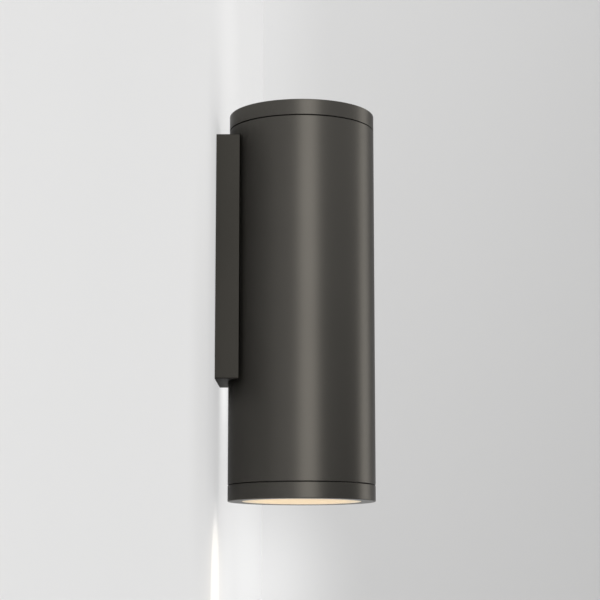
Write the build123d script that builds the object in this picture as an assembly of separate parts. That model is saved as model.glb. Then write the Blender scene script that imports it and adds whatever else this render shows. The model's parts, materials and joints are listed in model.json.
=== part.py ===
"""Tube wall light: a round aluminium tube that throws light down a wall.

The tube sits in the hollowed front of a slim back box, and the box hangs on a steel bracket.
The bracket's rear face lies on the wall.  Origin: centre of that face.  The wall is the plane
Y = 0, the light stands out towards -Y, and +Z is up.  All sizes are in millimetres.

Stack inside the tube, from the bottom: bezel, opal glass, gasket, reflector, LED board, thermal
pad, finned heat sink, and a folded gear tray that carries the driver and the terminal block.
The top cap unscrews to reach the terminals, the bezel unscrews to change the glass.
"""
from build123d import *
import math
import os

# ---------------------------------------------------------------- tube, cap and bezel
tube_d = 90.0            # outside of the tube, the cap and the bezel
tube_wall = 3.0
overall_len = 240.0      # top of the cap to the underside of the bezel
top_rise = 92.0          # middle of the back box up to the top of the cap
ring_h = 9.6             # visible height of the cap and of the bezel
seam_gap = 0.4           # shadow line between the tube and each of them
ring_edge = 0.3          # chamfer on the outer rims
seam_edge = 0.25         # chamfer on each side of a shadow line
spigot_h = 7.0           # threaded spigot of the cap and of the bezel
spigot_wall = 3.4
thread_gap = 0.3         # radial room between a spigot and the tube
cap_roof = 3.2

# ---------------------------------------------------------------- seals
seal_d = 1.4             # sides of the square section of the two seals
seal_gap = 0.1           # room round a seal
seal_depth = 1.6         # shadow line to the middle of a seal

# ---------------------------------------------------------------- glass and light engine
rim_w = 8.4              # flat rim of the bezel round the lit opening
ledge_t = 1.0            # thickness of the bezel under the glass
glass_t = 3.0
glass_land = 1.4         # width of the ledge that carries the glass
glass_gap = 0.3          # room round the glass, and above the gasket
glass_seat = 0.1         # room between the glass and its ledge
gasket_t = 1.5
gasket_w = 2.6
reflector_h = 13.0
reflector_t = 1.5
reflector_taper = 6.6    # opening's radius less the cone's radius at the board
board_inset = 4.6        # opening's radius less the board's radius
board_t = 1.6
pad_inset = 3.0          # board's radius less the pad's radius
pad_t = 0.4
chip_w = 3.5
chip_l = 2.8
chip_t = 0.7
inner_chips = 6          # number of chips in the inner ring
outer_chips = 12         # and in the outer ring
outer_chip_inset = 10.0  # board's edge to the outer ring of chips
board_screw_inset = 5.2  # board's edge to the circle of board screws
post_d = 4.4             # posts under the reflector flange
post_inset = 2.4         # glass edge to the circle of posts

# ---------------------------------------------------------------- heat sink
sink_fit = 0.1           # radial room in the tube
sink_base_t = 5.0
fin_h = 20.0
fin_t = 1.6
fin_pitch = 6.0
fin_inset = 3.0          # tube's inside to the ends of the fins
fin_front_gap = 1.0      # tray foot to the first fin
lead_hole_d = 9.0
lead_hole_y = 12.3       # lead hole, behind the tube's axis

# ---------------------------------------------------------------- back box
box_w = 50.0
box_h = 151.0
box_rear_gap = 0.5       # the box hangs just clear of the wall
tube_rear_gap = 7.3      # wall to the rear of the tube
box_wall = 2.5
saddle_wall = 2.0
saddle_gap = 0.1         # paint gap between the tube and its saddle
box_edge = 0.8           # rounded long edges of the box
saddle_edge = 0.4
lug_t = 1.5              # hanging lugs on the inside of the box
lug_h = 5.0
lug_gap = 0.3

# ---------------------------------------------------------------- wall bracket
bracket_inset = 6.0      # side of the box to the edge of the bracket
bracket_t = 1.5
bracket_top = 68.0       # above the middle of the box
bracket_bottom = 63.0    # below the middle of the box
bracket_corner = 3.0
fixing_pitch = 60.0      # between the two wall screws
slot_w = 4.5
slot_l = 10.0
cable_z = 58.0           # height of the cable entry
bracket_hole_d = 16.0
hook_z = 42.0            # height of the upper pair of hooks, and depth of the lower pair
hook_w = 6.0
hook_h = 9.0
hook_seat = 0.1          # room under a lug at rest
ear_w = 14.0             # ear that the locking screw bears on
ear_reach = 6.0

# ---------------------------------------------------------------- gear tray and what it carries
tray_w = 40.0
tray_t = 1.5
tray_fit = 0.5           # tray edges to the tube
tray_bend = 1.0          # inside radius of a fold
shelf_len = 39.0
shelf_below_entry = 4.5  # cable entry down to the top of the shelf
foot_len = 13.0
foot_screw_x = 12.0
fix_high = 45.0          # tube screws, above and below the middle of the box
fix_low = 60.0
nut_d = 8.0
nut_t = 3.0
driver_w = 38.0
driver_d = 26.0
driver_h = 72.0
driver_mid = -7.0
driver_lug = 9.0
driver_lug_w = 18.0
driver_lug_t = 3.0
driver_round = 2.0
cover_t = 5.0
pole_pitch = 9.0
pole_w = 8.0
pole_ease = 1.0
block_d = 18.0
block_h = 14.0
block_back = 14.0        # tray spine to the terminal block
block_web_h = 7.0
block_web_inset = 2.0    # ends of the poles to the web between them
block_lug_inset = 4.0    # ends of the poles to the lugs
block_lug_w = 6.5
block_lug_h = 4.0
block_bore_d = 3.4
block_bore_z = 6.0
clamp_w = 26.0
clamp_d = 7.0
clamp_h = 11.0
clamp_back = 2.5         # tray spine to the cord clamp
clamp_screw_x = 9.0
cable_d = 8.0            # largest supply cable that the bush and the clamp take
cable_room = 0.3
bush_d = 13.8
bush_fit = 0.1
bush_flange_d = 18.0
bush_flange_t = 1.5
bush_lip = 1.2           # bush beyond the inside of the saddle

# ---------------------------------------------------------------- screws and leads
m4 = 4.0
m3 = 3.0
screw_room = 0.3         # radial room where a screw passes through
thread_fit = 0.05        # radial room where a screw is threaded in
head_m4_d = 7.6
head_m4_h = 2.2
head_m3_d = 5.4
head_m3_h = 1.8
post_head_d = 4.4        # small heads under the reflector flange
head_ease = 0.3          # chamfer on a screw head, as a share of its height
terminal_screw_d = 3.4
screw_end = 1.0          # screw beyond what it holds, or material left under its tip
lock_socket = 2.0        # across flats
lock_boss_gap = 0.9      # edge of the bracket to the boss of the locking screw
boss_root = 1.0          # bosses and lugs run this far into the wall they stand on
tag_ring_d = 8.0
tag_t = 0.8
tag_barrel_d = 3.8
tag_barrel_l = 7.0
tag_x = 11.0
lead_d = 1.8
mains_bend = 5.0
led_bend = 16.0
lead_front = 12.0        # terminal block to the front of a lead's bend
lead_start = 4.0         # terminal block to the bared end of a lead
lead_drop = 6.0          # underside of the shelf to the lead's lower run
led_lead_x = 6.0
led_lead_pitch = 5.0
driver_lead_y = 15.5     # tray spine to the leads on the driver

# ---------------------------------------------------------------- places that follow from them
tube_r = tube_d / 2
tube_ir = tube_r - tube_wall
axis_y = -(tube_rear_gap + tube_r)
top_z = top_rise
bottom_z = top_z - overall_len
body_top = top_z - ring_h - seam_gap
body_bottom = bottom_z + ring_h + seam_gap
spigot_r = tube_ir - thread_gap
spigot_ir = spigot_r - spigot_wall

opening_r = tube_r - rim_w
glass_r = opening_r + glass_land
ledge_z = bottom_z + ledge_t
glass_z = ledge_z + glass_seat
gasket_z = glass_z + glass_t
reflector_z = gasket_z + gasket_t + glass_gap
board_z = reflector_z + reflector_h
pad_z = board_z + board_t
sink_z = pad_z + pad_t
sink_top = sink_z + sink_base_t
board_r = opening_r - board_inset
reflector_top_r = opening_r - reflector_taper
post_r = glass_r - post_inset
board_screw_r = board_r - board_screw_inset
outer_chip_r = board_r - outer_chip_inset
fin_reach = tube_ir - fin_inset

saddle_r = tube_r + saddle_gap
hump_r = saddle_r + saddle_wall
hump_y = axis_y + hump_r
cavity_x = box_w / 2 - box_wall
bracket_w = box_w - 2 * bracket_inset
lug_y = -bracket_t - lug_gap
hook_y = lug_y - lug_t - lug_gap
hook_x = bracket_w / 2 - hook_w
lug_z = bracket_t + hook_seat

spine_y = axis_y + math.sqrt((tube_ir - tray_fit) ** 2 - (tray_w / 2) ** 2)
spine_front = spine_y - tray_t
shelf_z = cable_z - shelf_below_entry
shelf_front = spine_y - shelf_len
driver_top = driver_mid + driver_h / 2
driver_bottom = driver_mid - driver_h / 2
block_y = spine_front - block_back
block_front = block_y - block_d
clamp_y = spine_front - clamp_back - clamp_d / 2
driver_lead = spine_front - driver_lead_y


# ---------------------------------------------------------------- helpers
def turned(*outline):
    """Solid of revolution about the tube's axis, from (radius, height) points."""
    face = make_face(Plane.XZ * Polyline(*outline, close=True))
    return Pos(0, axis_y, 0) * revolve(face, Axis.Z)


def ring(outer, inner, low, high):
    """Plain ring about the tube's axis."""
    return turned((inner, low), (outer, low), (outer, high), (inner, high))


def disc(radius, low, high):
    """Plain disc about the tube's axis."""
    return turned((0, low), (radius, low), (radius, high), (0, high))


def block(x0, x1, y0, y1, z0, z1):
    """Box between two corners."""
    middle = Pos((x0 + x1) / 2, (y0 + y1) / 2, (z0 + z1) / 2)
    return middle * Box(abs(x1 - x0), abs(y1 - y0), abs(z1 - z0))


def rod_y(radius, x, z, y0, y1):
    """Round bar along Y."""
    return Pos(x, (y0 + y1) / 2, z) * Rot(90, 0, 0) * Cylinder(radius, abs(y1 - y0))


def rod_z(radius, x, y, z0, z1):
    """Round bar along Z."""
    return Pos(x, y, (z0 + z1) / 2) * Cylinder(radius, abs(z1 - z0))


def rod_x(radius, y, z, x0, x1):
    """Round bar along X."""
    return Pos((x0 + x1) / 2, y, z) * Rot(0, 90, 0) * Cylinder(radius, abs(x1 - x0))


def screw_up(x, y, seat, size, head_d, head_h, length):
    """Screw with its head below `seat`, driven upwards."""
    head = rod_z(head_d / 2, x, y, seat - head_h, seat)
    head = chamfer(head.edges().sort_by(Axis.Z)[0], head_h * head_ease)
    return head + rod_z(size / 2, x, y, seat - head_h / 2, seat + length)


def screw_down(x, y, seat, size, head_d, head_h, length):
    """Screw with its head above `seat`, driven downwards."""
    head = rod_z(head_d / 2, x, y, seat, seat + head_h)
    head = chamfer(head.edges().sort_by(Axis.Z)[-1], head_h * head_ease)
    return head + rod_z(size / 2, x, y, seat - length, seat + head_h / 2)


def around(count, radius, start=0.0):
    """Points evenly spaced round the tube's axis."""
    step = 2 * math.pi / count
    turn = math.radians(start)
    return [(radius * math.cos(turn + i * step), axis_y + radius * math.sin(turn + i * step))
            for i in range(count)]


def lead(bend, *points):
    """Round insulated lead along straight runs joined by arcs."""
    route = FilletPolyline(*points, radius=bend)
    section = Plane(origin=route @ 0, z_dir=route % 0) * Circle(lead_d / 2)
    wire = sweep(section, path=route)
    print("lead length %.1f mm, bend radius %.1f mm" % (route.length, bend))
    return wire


def write(name, shape):
    """Write one piece, or a group of identical pieces, to parts/NAME.step."""
    solids = shape.solids()
    piece = solids[0] if len(solids) == 1 else Compound(children=list(solids))
    piece.label = name
    export_step(piece, "parts/%s.step" % name)


# ---------------------------------------------------------------- tube, cap and bezel
def tube_body():
    """Plain tube with two screw holes and the cable hole in its rear wall."""
    tube = turned((tube_ir, body_bottom), (tube_r - seam_edge, body_bottom),
                  (tube_r, body_bottom + seam_edge), (tube_r, body_top - seam_edge),
                  (tube_r - seam_edge, body_top), (tube_ir, body_top))
    for z in (fix_high, -fix_low):
        tube -= rod_y(m4 / 2 + screw_room, 0, z, 0, axis_y)
    return tube - rod_y(bush_d / 2 + bush_fit, 0, cable_z, 0, axis_y)


def rim_and_spigot(rim_z, way):
    """(radius, height) points from a ring's outer rim to the inside of its spigot.

    `rim_z` is the height of the outer face, and `way` is 1 for a spigot that points up.
    """
    seam = rim_z + way * ring_h
    seal = seam + way * (seam_gap + seal_depth)
    half = seal_d / 2 + seal_gap
    floor = tube_ir - 2 * seal_gap - seal_d
    end = seam + way * spigot_h
    return [(tube_r - ring_edge, rim_z), (tube_r, rim_z + way * ring_edge),
            (tube_r, seam - way * seam_edge), (tube_r - seam_edge, seam), (spigot_r, seam),
            (spigot_r, seal - way * half), (floor, seal - way * half),
            (floor, seal + way * half), (spigot_r, seal + way * half),
            (spigot_r, end - way * ring_edge), (spigot_r - ring_edge, end), (spigot_ir, end)]


def seal_ring(rim_z, way):
    """Square-section rubber ring in the groove of a spigot."""
    middle = rim_z + way * (ring_h + seam_gap + seal_depth)
    outer = tube_ir - seal_gap
    return ring(outer, outer - seal_d, middle - seal_d / 2, middle + seal_d / 2)


def lower_bezel():
    """Screw-in bezel: flat rim round the lit opening, ledge for the glass, threaded spigot."""
    edge = ring_edge / 2
    return turned((opening_r + edge, bottom_z), *rim_and_spigot(bottom_z, 1),
                  (spigot_ir, ledge_z), (opening_r, ledge_z), (opening_r, bottom_z + edge))


def top_cap():
    """Screw-in cap that closes the top of the tube."""
    roof = top_z - cap_roof
    return turned((0, top_z), *rim_and_spigot(top_z, -1), (spigot_ir, roof), (0, roof))


# ---------------------------------------------------------------- glass and light engine
def diffuser_glass():
    """Opal glass disc with a stepped face that fills the opening, flush with the rim."""
    face_r = opening_r - glass_gap
    face_z = bottom_z + glass_seat
    edge = ring_edge / 2
    return turned((0, face_z), (face_r - edge, face_z), (face_r, face_z + edge),
                  (face_r, glass_z), (glass_r - edge, glass_z), (glass_r, glass_z + edge),
                  (glass_r, gasket_z - edge), (glass_r - edge, gasket_z), (0, gasket_z))


def lens_gasket():
    """Flat silicone ring on top of the glass."""
    return ring(glass_r, glass_r - gasket_w, gasket_z, gasket_z + gasket_t)


def reflector():
    """White mixing cone with a screwed flange at its top and a foot over the gasket."""
    low = reflector_z
    high = board_z
    top_r = reflector_top_r
    low_r = opening_r - reflector_t / 2
    foot_r = glass_r - glass_gap
    cone = turned((low_r, low), (foot_r, low), (foot_r, low + reflector_t),
                  (low_r + reflector_t, low + reflector_t),
                  (top_r + reflector_t, high - reflector_t),
                  (glass_r, high - reflector_t), (glass_r, high),
                  (top_r, high))
    for x, y in around(3, post_r, 90):
        cone += rod_z(post_d / 2, x, y, high - reflector_t, sink_z)
        cone -= rod_z(m3 / 2 + screw_room / 2, x, y, high - reflector_t, sink_z)
    return cone


def reflector_screws():
    """Three screws that hold the reflector flange to the heat sink."""
    seat = board_z - reflector_t
    reach = sink_top - seat - screw_end
    screws = [screw_up(x, y, seat, m3, post_head_d, head_m3_h, reach)
              for x, y in around(3, post_r, 90)]
    return Compound(children=screws)


def led_board():
    """Round aluminium board with screw holes and two lead holes."""
    board = disc(board_r, board_z, pad_z)
    for x, y in around(2, board_screw_r):
        board -= rod_z(m3 / 2 + screw_room / 2, x, y, board_z, pad_z)
    for x in (-led_lead_pitch / 2, led_lead_pitch / 2):
        board -= rod_z(lead_d / 2 + thread_fit, x, axis_y + lead_hole_y, board_z, pad_z)
    return board


def led_chips():
    """Rings of square LED packages on the underside of the board."""
    chips = []
    for count, radius in ((inner_chips, outer_chip_r / 2), (outer_chips, outer_chip_r)):
        for i in range(count):
            turn = 360.0 * (i + 0.5) / count
            chip = Pos(radius, 0, board_z - chip_t / 2) * Box(chip_l, chip_w, chip_t)
            chips.append(Pos(0, axis_y, 0) * Rot(0, 0, turn) * chip)
    return Compound(children=chips)


def board_screws():
    """Two screws that press the board on its pad."""
    reach = sink_top - board_z - screw_end
    screws = [screw_up(x, y, board_z, m3, head_m3_d, head_m3_h, reach)
              for x, y in around(2, board_screw_r)]
    return Compound(children=screws)


def thermal_pad():
    """Soft pad between the board and the heat sink."""
    pad = disc(board_r - pad_inset, pad_z, sink_z)
    pad -= rod_z(lead_hole_d / 2, 0, axis_y + lead_hole_y, pad_z, sink_z)
    for x, y in around(2, board_screw_r):
        pad -= rod_z(m3 / 2 + screw_room, x, y, pad_z, sink_z)
    return pad


def heat_sink():
    """Round base with straight fins, cut back for the tray's foot and for the leads."""
    base = disc(tube_ir - sink_fit, sink_z, sink_top)
    fin_back = spine_y - foot_len - fin_front_gap
    rows = int(fin_reach / fin_pitch)
    fins = Compound(children=[
        block(i * fin_pitch - fin_t / 2, i * fin_pitch + fin_t / 2,
              axis_y - fin_reach, fin_back, sink_top, sink_top + fin_h)
        for i in range(-rows, rows + 1)])
    sink = base + (disc(fin_reach, sink_top, sink_top + fin_h) & fins)
    leads_y = axis_y + lead_hole_y
    sink -= rod_z(lead_hole_d / 2, 0, leads_y, sink_z, sink_top)
    sink -= rod_z(lead_hole_d / 2 + fin_front_gap, 0, leads_y, sink_top, sink_top + fin_h)
    for x, y in around(3, post_r, 90) + around(2, board_screw_r):
        sink -= rod_z(m3 / 2 + thread_fit, x, y, sink_z, sink_top - screw_end / 2)
    for x in (-foot_screw_x, foot_screw_x):
        sink -= rod_z(m3 / 2 + thread_fit, x, spine_front - foot_len / 2,
                      sink_z + screw_end, sink_top)
    return sink


def heat_sink_screws():
    """Two screws through the tray's foot into the base of the heat sink."""
    seat = sink_top + tray_t
    reach = tray_t + sink_base_t - 1.5 * screw_end
    screws = [screw_down(x, spine_front - foot_len / 2, seat, m3, head_m3_d, head_m3_h, reach)
              for x in (-foot_screw_x, foot_screw_x)]
    return Compound(children=screws)


# ---------------------------------------------------------------- gear tray and electrics
def gear_tray():
    """Folded steel strip: upright spine, shelf at the top, foot on the heat sink."""
    outline = Polyline((shelf_front, shelf_z), (spine_y, shelf_z), (spine_y, sink_top),
                       (spine_y - foot_len, sink_top), (spine_y - foot_len, sink_top + tray_t),
                       (spine_front, sink_top + tray_t), (spine_front, shelf_z - tray_t),
                       (shelf_front, shelf_z - tray_t), close=True)
    tray = extrude(make_face(Plane.YZ * outline), amount=tray_w / 2, both=True)
    folds = tray.edges().filter_by(Axis.X)
    at = {(round(e.center().Y, 2), round(e.center().Z, 2)): e for e in folds}
    outer = [at[(round(spine_y, 2), round(z, 2))] for z in (shelf_z, sink_top)]
    tray = fillet(outer, tray_bend + tray_t)
    folds = tray.edges().filter_by(Axis.X)
    inner = [e for e in folds if abs(e.center().Y - spine_front) < 0.01
             and e.center().Z > sink_top + tray_t / 2
             and min(abs(e.center().Z - shelf_z + tray_t),
                     abs(e.center().Z - sink_top - tray_t)) < 0.01]
    tray = fillet(inner, tray_bend)
    for x, z, size in ((0, fix_high, m4), (0, -fix_low, m4), (tag_x, fix_high, m4),
                       (0, driver_top + driver_lug / 2, m3),
                       (0, driver_bottom - driver_lug / 2, m3)):
        tray -= rod_y(size / 2 + screw_room, x, z, spine_y, spine_front)
    for x, y in shelf_screws():
        tray -= rod_z(m3 / 2 + screw_room / 2, x, y, shelf_z - tray_t, shelf_z)
    for x in (-foot_screw_x, foot_screw_x):
        tray -= rod_z(m3 / 2 + screw_room / 2, x, spine_front - foot_len / 2,
                      sink_top, sink_top + tray_t)
    return tray


def block_screw_x():
    """Distance of the terminal block's fixing screws from the middle."""
    return pole_pitch + pole_w / 2 + block_lug_w / 2


def shelf_screws():
    """Places of the four screws in the shelf: two of the block, two of the clamp."""
    middle = block_y - block_d / 2
    return [(-block_screw_x(), middle), (block_screw_x(), middle),
            (-clamp_screw_x, clamp_y), (clamp_screw_x, clamp_y)]


def tray_spacers():
    """Two spacers between the tube's rear wall and the tray's spine."""
    rear = axis_y + math.sqrt(tube_ir ** 2 - (nut_d / 2) ** 2) - sink_fit
    spacers = []
    for z in (fix_high, -fix_low):
        sleeve = rod_y(nut_d / 2, 0, z, rear, spine_y)
        spacers.append(sleeve - rod_y(m4 / 2 + screw_room, 0, z, rear, spine_y))
    return Compound(children=spacers)


def tray_nuts():
    """Two clinch nuts on the front of the spine."""
    nuts = []
    for z in (fix_high, -fix_low):
        nut = rod_y(nut_d / 2, 0, z, spine_front, spine_front - nut_t)
        nuts.append(nut - rod_y(m4 / 2 + thread_fit, 0, z, spine_front, spine_front - nut_t))
    return Compound(children=nuts)


def tube_screws():
    """Two screws from inside the back box through box, tube and spacer into the nuts."""
    seat = hump_y + thread_fit
    screws = []
    for z in (fix_high, -fix_low):
        head = rod_y(head_m4_d / 2, 0, z, seat, seat + head_m4_h)
        head = chamfer(head.edges().sort_by(Axis.Y)[-1], head_m4_h * head_ease)
        shank = rod_y(m4 / 2, 0, z, seat + head_m4_h / 2, spine_front - nut_t - screw_end)
        screws.append(head + shank)
    return Compound(children=screws)


def driver_case():
    """Body of the LED driver with a fixing lug at each end."""
    front = spine_front - driver_d + cover_t
    half = driver_w / 2
    case = block(-half, half, spine_front, front, driver_bottom, driver_top)
    case = fillet(case.edges().filter_by(Axis.Y), driver_round)
    lug = driver_lug_w / 2
    lugs = block(-lug, lug, spine_front, spine_front - driver_lug_t,
                 driver_bottom - driver_lug, driver_top + driver_lug)
    case += fillet(lugs.edges().filter_by(Axis.Y), driver_round)
    for z in (driver_top + driver_lug / 2, driver_bottom - driver_lug / 2):
        case -= rod_y(m3 / 2 + screw_room / 2, 0, z, spine_front, spine_front - driver_lug_t)
    return case


def driver_cover():
    """Snap-on cover of the driver."""
    front = spine_front - driver_d
    half = driver_w / 2
    cover = block(-half, half, front + cover_t, front, driver_bottom, driver_top)
    cover = fillet(cover.edges().filter_by(Axis.Y), driver_round)
    return chamfer(cover.faces().sort_by(Axis.Y)[0].edges(), ring_edge)


def driver_screws():
    """Two screws through the driver's lugs into the spine."""
    seat = spine_front - driver_lug_t
    screws = []
    for z in (driver_top + driver_lug / 2, driver_bottom - driver_lug / 2):
        head = rod_y(head_m3_d / 2, 0, z, seat, seat - head_m3_h)
        head = chamfer(head.edges().sort_by(Axis.Y)[0], head_m3_h * head_ease)
        screws.append(head + rod_y(m3 / 2, 0, z, seat - head_m3_h / 2, spine_y + tray_t))
    return Compound(children=screws)


def poles():
    """Middles of the three poles of the terminal block."""
    return [i * pole_pitch for i in (-1, 0, 1)]


def terminal_screw_y():
    """Depths of the two rows of clamping screws."""
    return block_y - block_d / 4, block_front + block_d / 4


def terminal_block():
    """Three-pole terminal block with a fixing lug at each end."""
    half = pole_pitch + pole_w / 2
    back = block_y
    front = block_front
    body = block(-half, half, back - block_web_inset, front + block_web_inset,
                 shelf_z, shelf_z + block_web_h)
    lug = half + block_lug_w
    body += block(-lug, lug, back - block_lug_inset, front + block_lug_inset,
                  shelf_z, shelf_z + block_lug_h)
    for x in poles():
        pole = block(x - pole_w / 2, x + pole_w / 2, back, front, shelf_z, shelf_z + block_h)
        ends = pole.faces().sort_by(Axis.Z)[-1].edges().filter_by(Axis.X)
        body += chamfer(ends, pole_ease)
    for x in poles():
        body -= rod_y(block_bore_d / 2, x, shelf_z + block_bore_z, back, front)
        for y in terminal_screw_y():
            body -= rod_z(terminal_screw_d / 2 + thread_fit, x, y,
                          shelf_z + block_bore_z, shelf_z + block_h)
    for x in (-block_screw_x(), block_screw_x()):
        body -= rod_z(m3 / 2 + screw_room / 2, x, (back + front) / 2,
                      shelf_z, shelf_z + block_lug_h)
    return body


def terminal_screws():
    """Six clamping screws in the wells of the terminal block."""
    low = shelf_z + block_bore_z + block_bore_d / 2
    high = shelf_z + block_h - pole_ease - screw_end / 2
    screws = [rod_z(terminal_screw_d / 2, x, y, low, high) for x in poles()
              for y in terminal_screw_y()]
    return Compound(children=screws)


def terminal_block_screws():
    """Two screws that hold the terminal block on the shelf."""
    seat = shelf_z + block_lug_h
    middle = block_y - block_d / 2
    screws = [screw_down(x, middle, seat, m3, head_m3_d, head_m3_h,
                          block_lug_h + tray_t + screw_end)
              for x in (-block_screw_x(), block_screw_x())]
    return Compound(children=screws)


def cord_clamp():
    """Arched clamp over the supply cable's place."""
    half = clamp_w / 2
    channel = cable_d / 2 + cable_room
    back = clamp_y + clamp_d / 2
    front = clamp_y - clamp_d / 2
    clamp = block(-half, half, back, front, shelf_z, shelf_z + clamp_h)
    top = clamp.faces().sort_by(Axis.Z)[-1].edges().filter_by(Axis.Y)
    clamp = fillet(top, driver_round)
    clamp -= rod_y(channel, 0, cable_z, back, front)
    clamp -= block(-channel, channel, back, front, shelf_z, cable_z)
    for x in (-clamp_screw_x, clamp_screw_x):
        clamp -= rod_z(m3 / 2 + screw_room / 2, x, clamp_y, shelf_z, shelf_z + clamp_h)
    return clamp


def cord_clamp_screws():
    """Two screws that pull the cord clamp down on the shelf."""
    screws = [screw_down(x, clamp_y, shelf_z + clamp_h, m3, head_m3_d, head_m3_h,
                         clamp_h + tray_t + screw_end)
              for x in (-clamp_screw_x, clamp_screw_x)]
    return Compound(children=screws)


def cable_bush():
    """Rubber bush that lines the cable's way through the box and the tube."""
    rear = hump_y + bush_lip
    seat = axis_y + math.sqrt(tube_ir ** 2 - (bush_flange_d / 2) ** 2) - sink_fit
    bush = rod_y(bush_d / 2, 0, cable_z, rear, seat)
    bush += rod_y(bush_flange_d / 2, 0, cable_z, seat, seat - bush_flange_t)
    return bush - rod_y(cable_d / 2, 0, cable_z, rear, seat - bush_flange_t)


def earth_tag():
    """Ring terminal on the spine with its crimp barrel bent forward."""
    ring_r = tag_ring_d / 2
    barrel_x = tag_x + ring_r + tag_barrel_d / 2
    tag = rod_y(ring_r, tag_x, fix_high, spine_front, spine_front - tag_t)
    tag += block(tag_x, barrel_x, spine_front, spine_front - tag_t,
                 fix_high - tag_barrel_d / 2, fix_high + tag_barrel_d / 2)
    tag += rod_y(tag_barrel_d / 2, barrel_x, fix_high, spine_front, spine_front - tag_barrel_l)
    tag -= rod_y(m4 / 2 + thread_fit, tag_x, fix_high, spine_front, spine_front - tag_t)
    bore = lead_d / 2 + thread_fit
    return tag - rod_y(bore, barrel_x, fix_high, spine_front - 2 * tag_t,
                       spine_front - tag_barrel_l)


def earth_screw():
    """Screw that holds the earth ring on the spine."""
    seat = spine_front - tag_t
    head = rod_y(head_m4_d / 2, tag_x, fix_high, seat, seat - head_m4_h)
    head = chamfer(head.edges().sort_by(Axis.Y)[0], head_m4_h * head_ease)
    return head + rod_y(m4 / 2, tag_x, fix_high, seat - head_m4_h / 2, spine_y + tray_t)


def mains_lead(x):
    """Lead from the front of one pole down to the top of the driver."""
    start = shelf_z + block_bore_z
    front = block_front - lead_front
    low = shelf_z - tray_t - lead_drop
    return lead(mains_bend, (x, block_front + lead_start, start), (x, front, start), (x, front, low),
                (x, driver_lead, low), (x, driver_lead, driver_top))


def earth_lead():
    """Lead from the earth pole to the ring terminal on the spine."""
    x = pole_pitch
    end_x = tag_x + tag_ring_d / 2 + tag_barrel_d / 2
    start = shelf_z + block_bore_z
    front = block_front - lead_front
    return lead(mains_bend, (x, block_front + lead_start, start), (x, front, start),
                (end_x, front, fix_high), (end_x, spine_front - 2 * tag_t, fix_high))


def led_lead(side):
    """Lead from the underside of the driver to the LED board."""
    x = side * led_lead_x
    end_x = side * led_lead_pitch / 2
    end_y = axis_y + lead_hole_y
    drop = (driver_bottom - sink_top) / 4
    return lead(led_bend, (x, driver_lead, driver_bottom),
                (x, driver_lead, driver_bottom - drop),
                (end_x, end_y, driver_bottom - 2 * drop), (end_x, end_y, pad_z - board_t / 2))


# ---------------------------------------------------------------- back box and wall bracket
def back_box():
    """Cast box, open to the wall, with a hollow front that seats the tube."""
    front = axis_y
    outer = block(-box_w / 2, box_w / 2, -box_rear_gap, front, -box_h / 2, box_h / 2)
    outer = fillet(outer.edges().filter_by(Axis.Y), box_edge)
    cavity_z = box_h / 2 - box_wall
    cavity = block(-cavity_x, cavity_x, 0, front, -cavity_z, cavity_z)
    cavity -= disc(hump_r, -box_h, box_h)
    box = outer - cavity - disc(saddle_r, -box_h, box_h)
    box = box.solids().sort_by(Axis.Y)[-1]
    corners = [e for e in box.edges().filter_by(Axis.Z)
               if abs(abs(e.center().X) - box_w / 2) < 0.01 and e.center().Y < -box_wall]
    box = chamfer(corners, saddle_edge)
    for side in (-1, 1):
        for z in (hook_z, -hook_z):
            box += block(side * (hook_x + lug_gap), side * (cavity_x + boss_root),
                         lug_y, lug_y - lug_t, z + lug_z, z + lug_z + lug_h)
    boss_in = bracket_w / 2 + lock_boss_gap
    box += rod_x(m4, lock_y(), 0, boss_in, cavity_x + boss_root)
    box -= rod_x(m4 / 2 + thread_fit, lock_y(), 0, boss_in, box_w / 2 + boss_root)
    for z in (fix_high, -fix_low):
        box -= rod_y(m4 / 2 + screw_room, 0, z, 0, axis_y)
    return box - rod_y(bush_d / 2 + 2 * bush_fit, 0, cable_z, 0, axis_y)


def lock_y():
    """Depth of the locking screw: the middle of the bracket's ear."""
    return -bracket_t - ear_reach / 2


def locking_screw():
    """Grub screw in the side of the box that bears on the bracket's ear."""
    tip = bracket_w / 2 + hook_seat
    end = box_w / 2 - ring_edge
    screw = rod_x(m4 / 2, lock_y(), 0, tip, end)
    socket = extrude(Plane.YZ * RegularPolygon(lock_socket / 2, 6, major_radius=False),
                     amount=lock_socket)
    return screw - Pos(end - lock_socket, lock_y(), 0) * socket


def wall_bracket():
    """Steel strip with two wall slots, a cable hole, four hooks and an ear for the screw."""
    half = bracket_w / 2
    plate = block(-half, half, 0, -bracket_t, -bracket_bottom, bracket_top)
    plate = fillet(plate.edges().filter_by(Axis.Y), bracket_corner)
    for z in (fixing_pitch / 2, -fixing_pitch / 2):
        slot = Plane.XZ * Pos(0, z) * SlotOverall(slot_l, slot_w, rotation=90)
        plate -= extrude(slot, amount=2 * bracket_t, both=True)
    plate -= rod_y(bracket_hole_d / 2, 0, cable_z, bracket_t, -2 * bracket_t)
    for side in (-1, 1):
        for z in (hook_z, -hook_z):
            plate += block(side * hook_x, side * half, -bracket_t / 2, hook_y - bracket_t,
                           z, z + bracket_t)
            plate += block(side * hook_x, side * half, hook_y, hook_y - bracket_t,
                           z, z + hook_h)
    return plate + block(half - bracket_t, half, -bracket_t / 2, -bracket_t - ear_reach,
                         -ear_w / 2, ear_w / 2)


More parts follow.
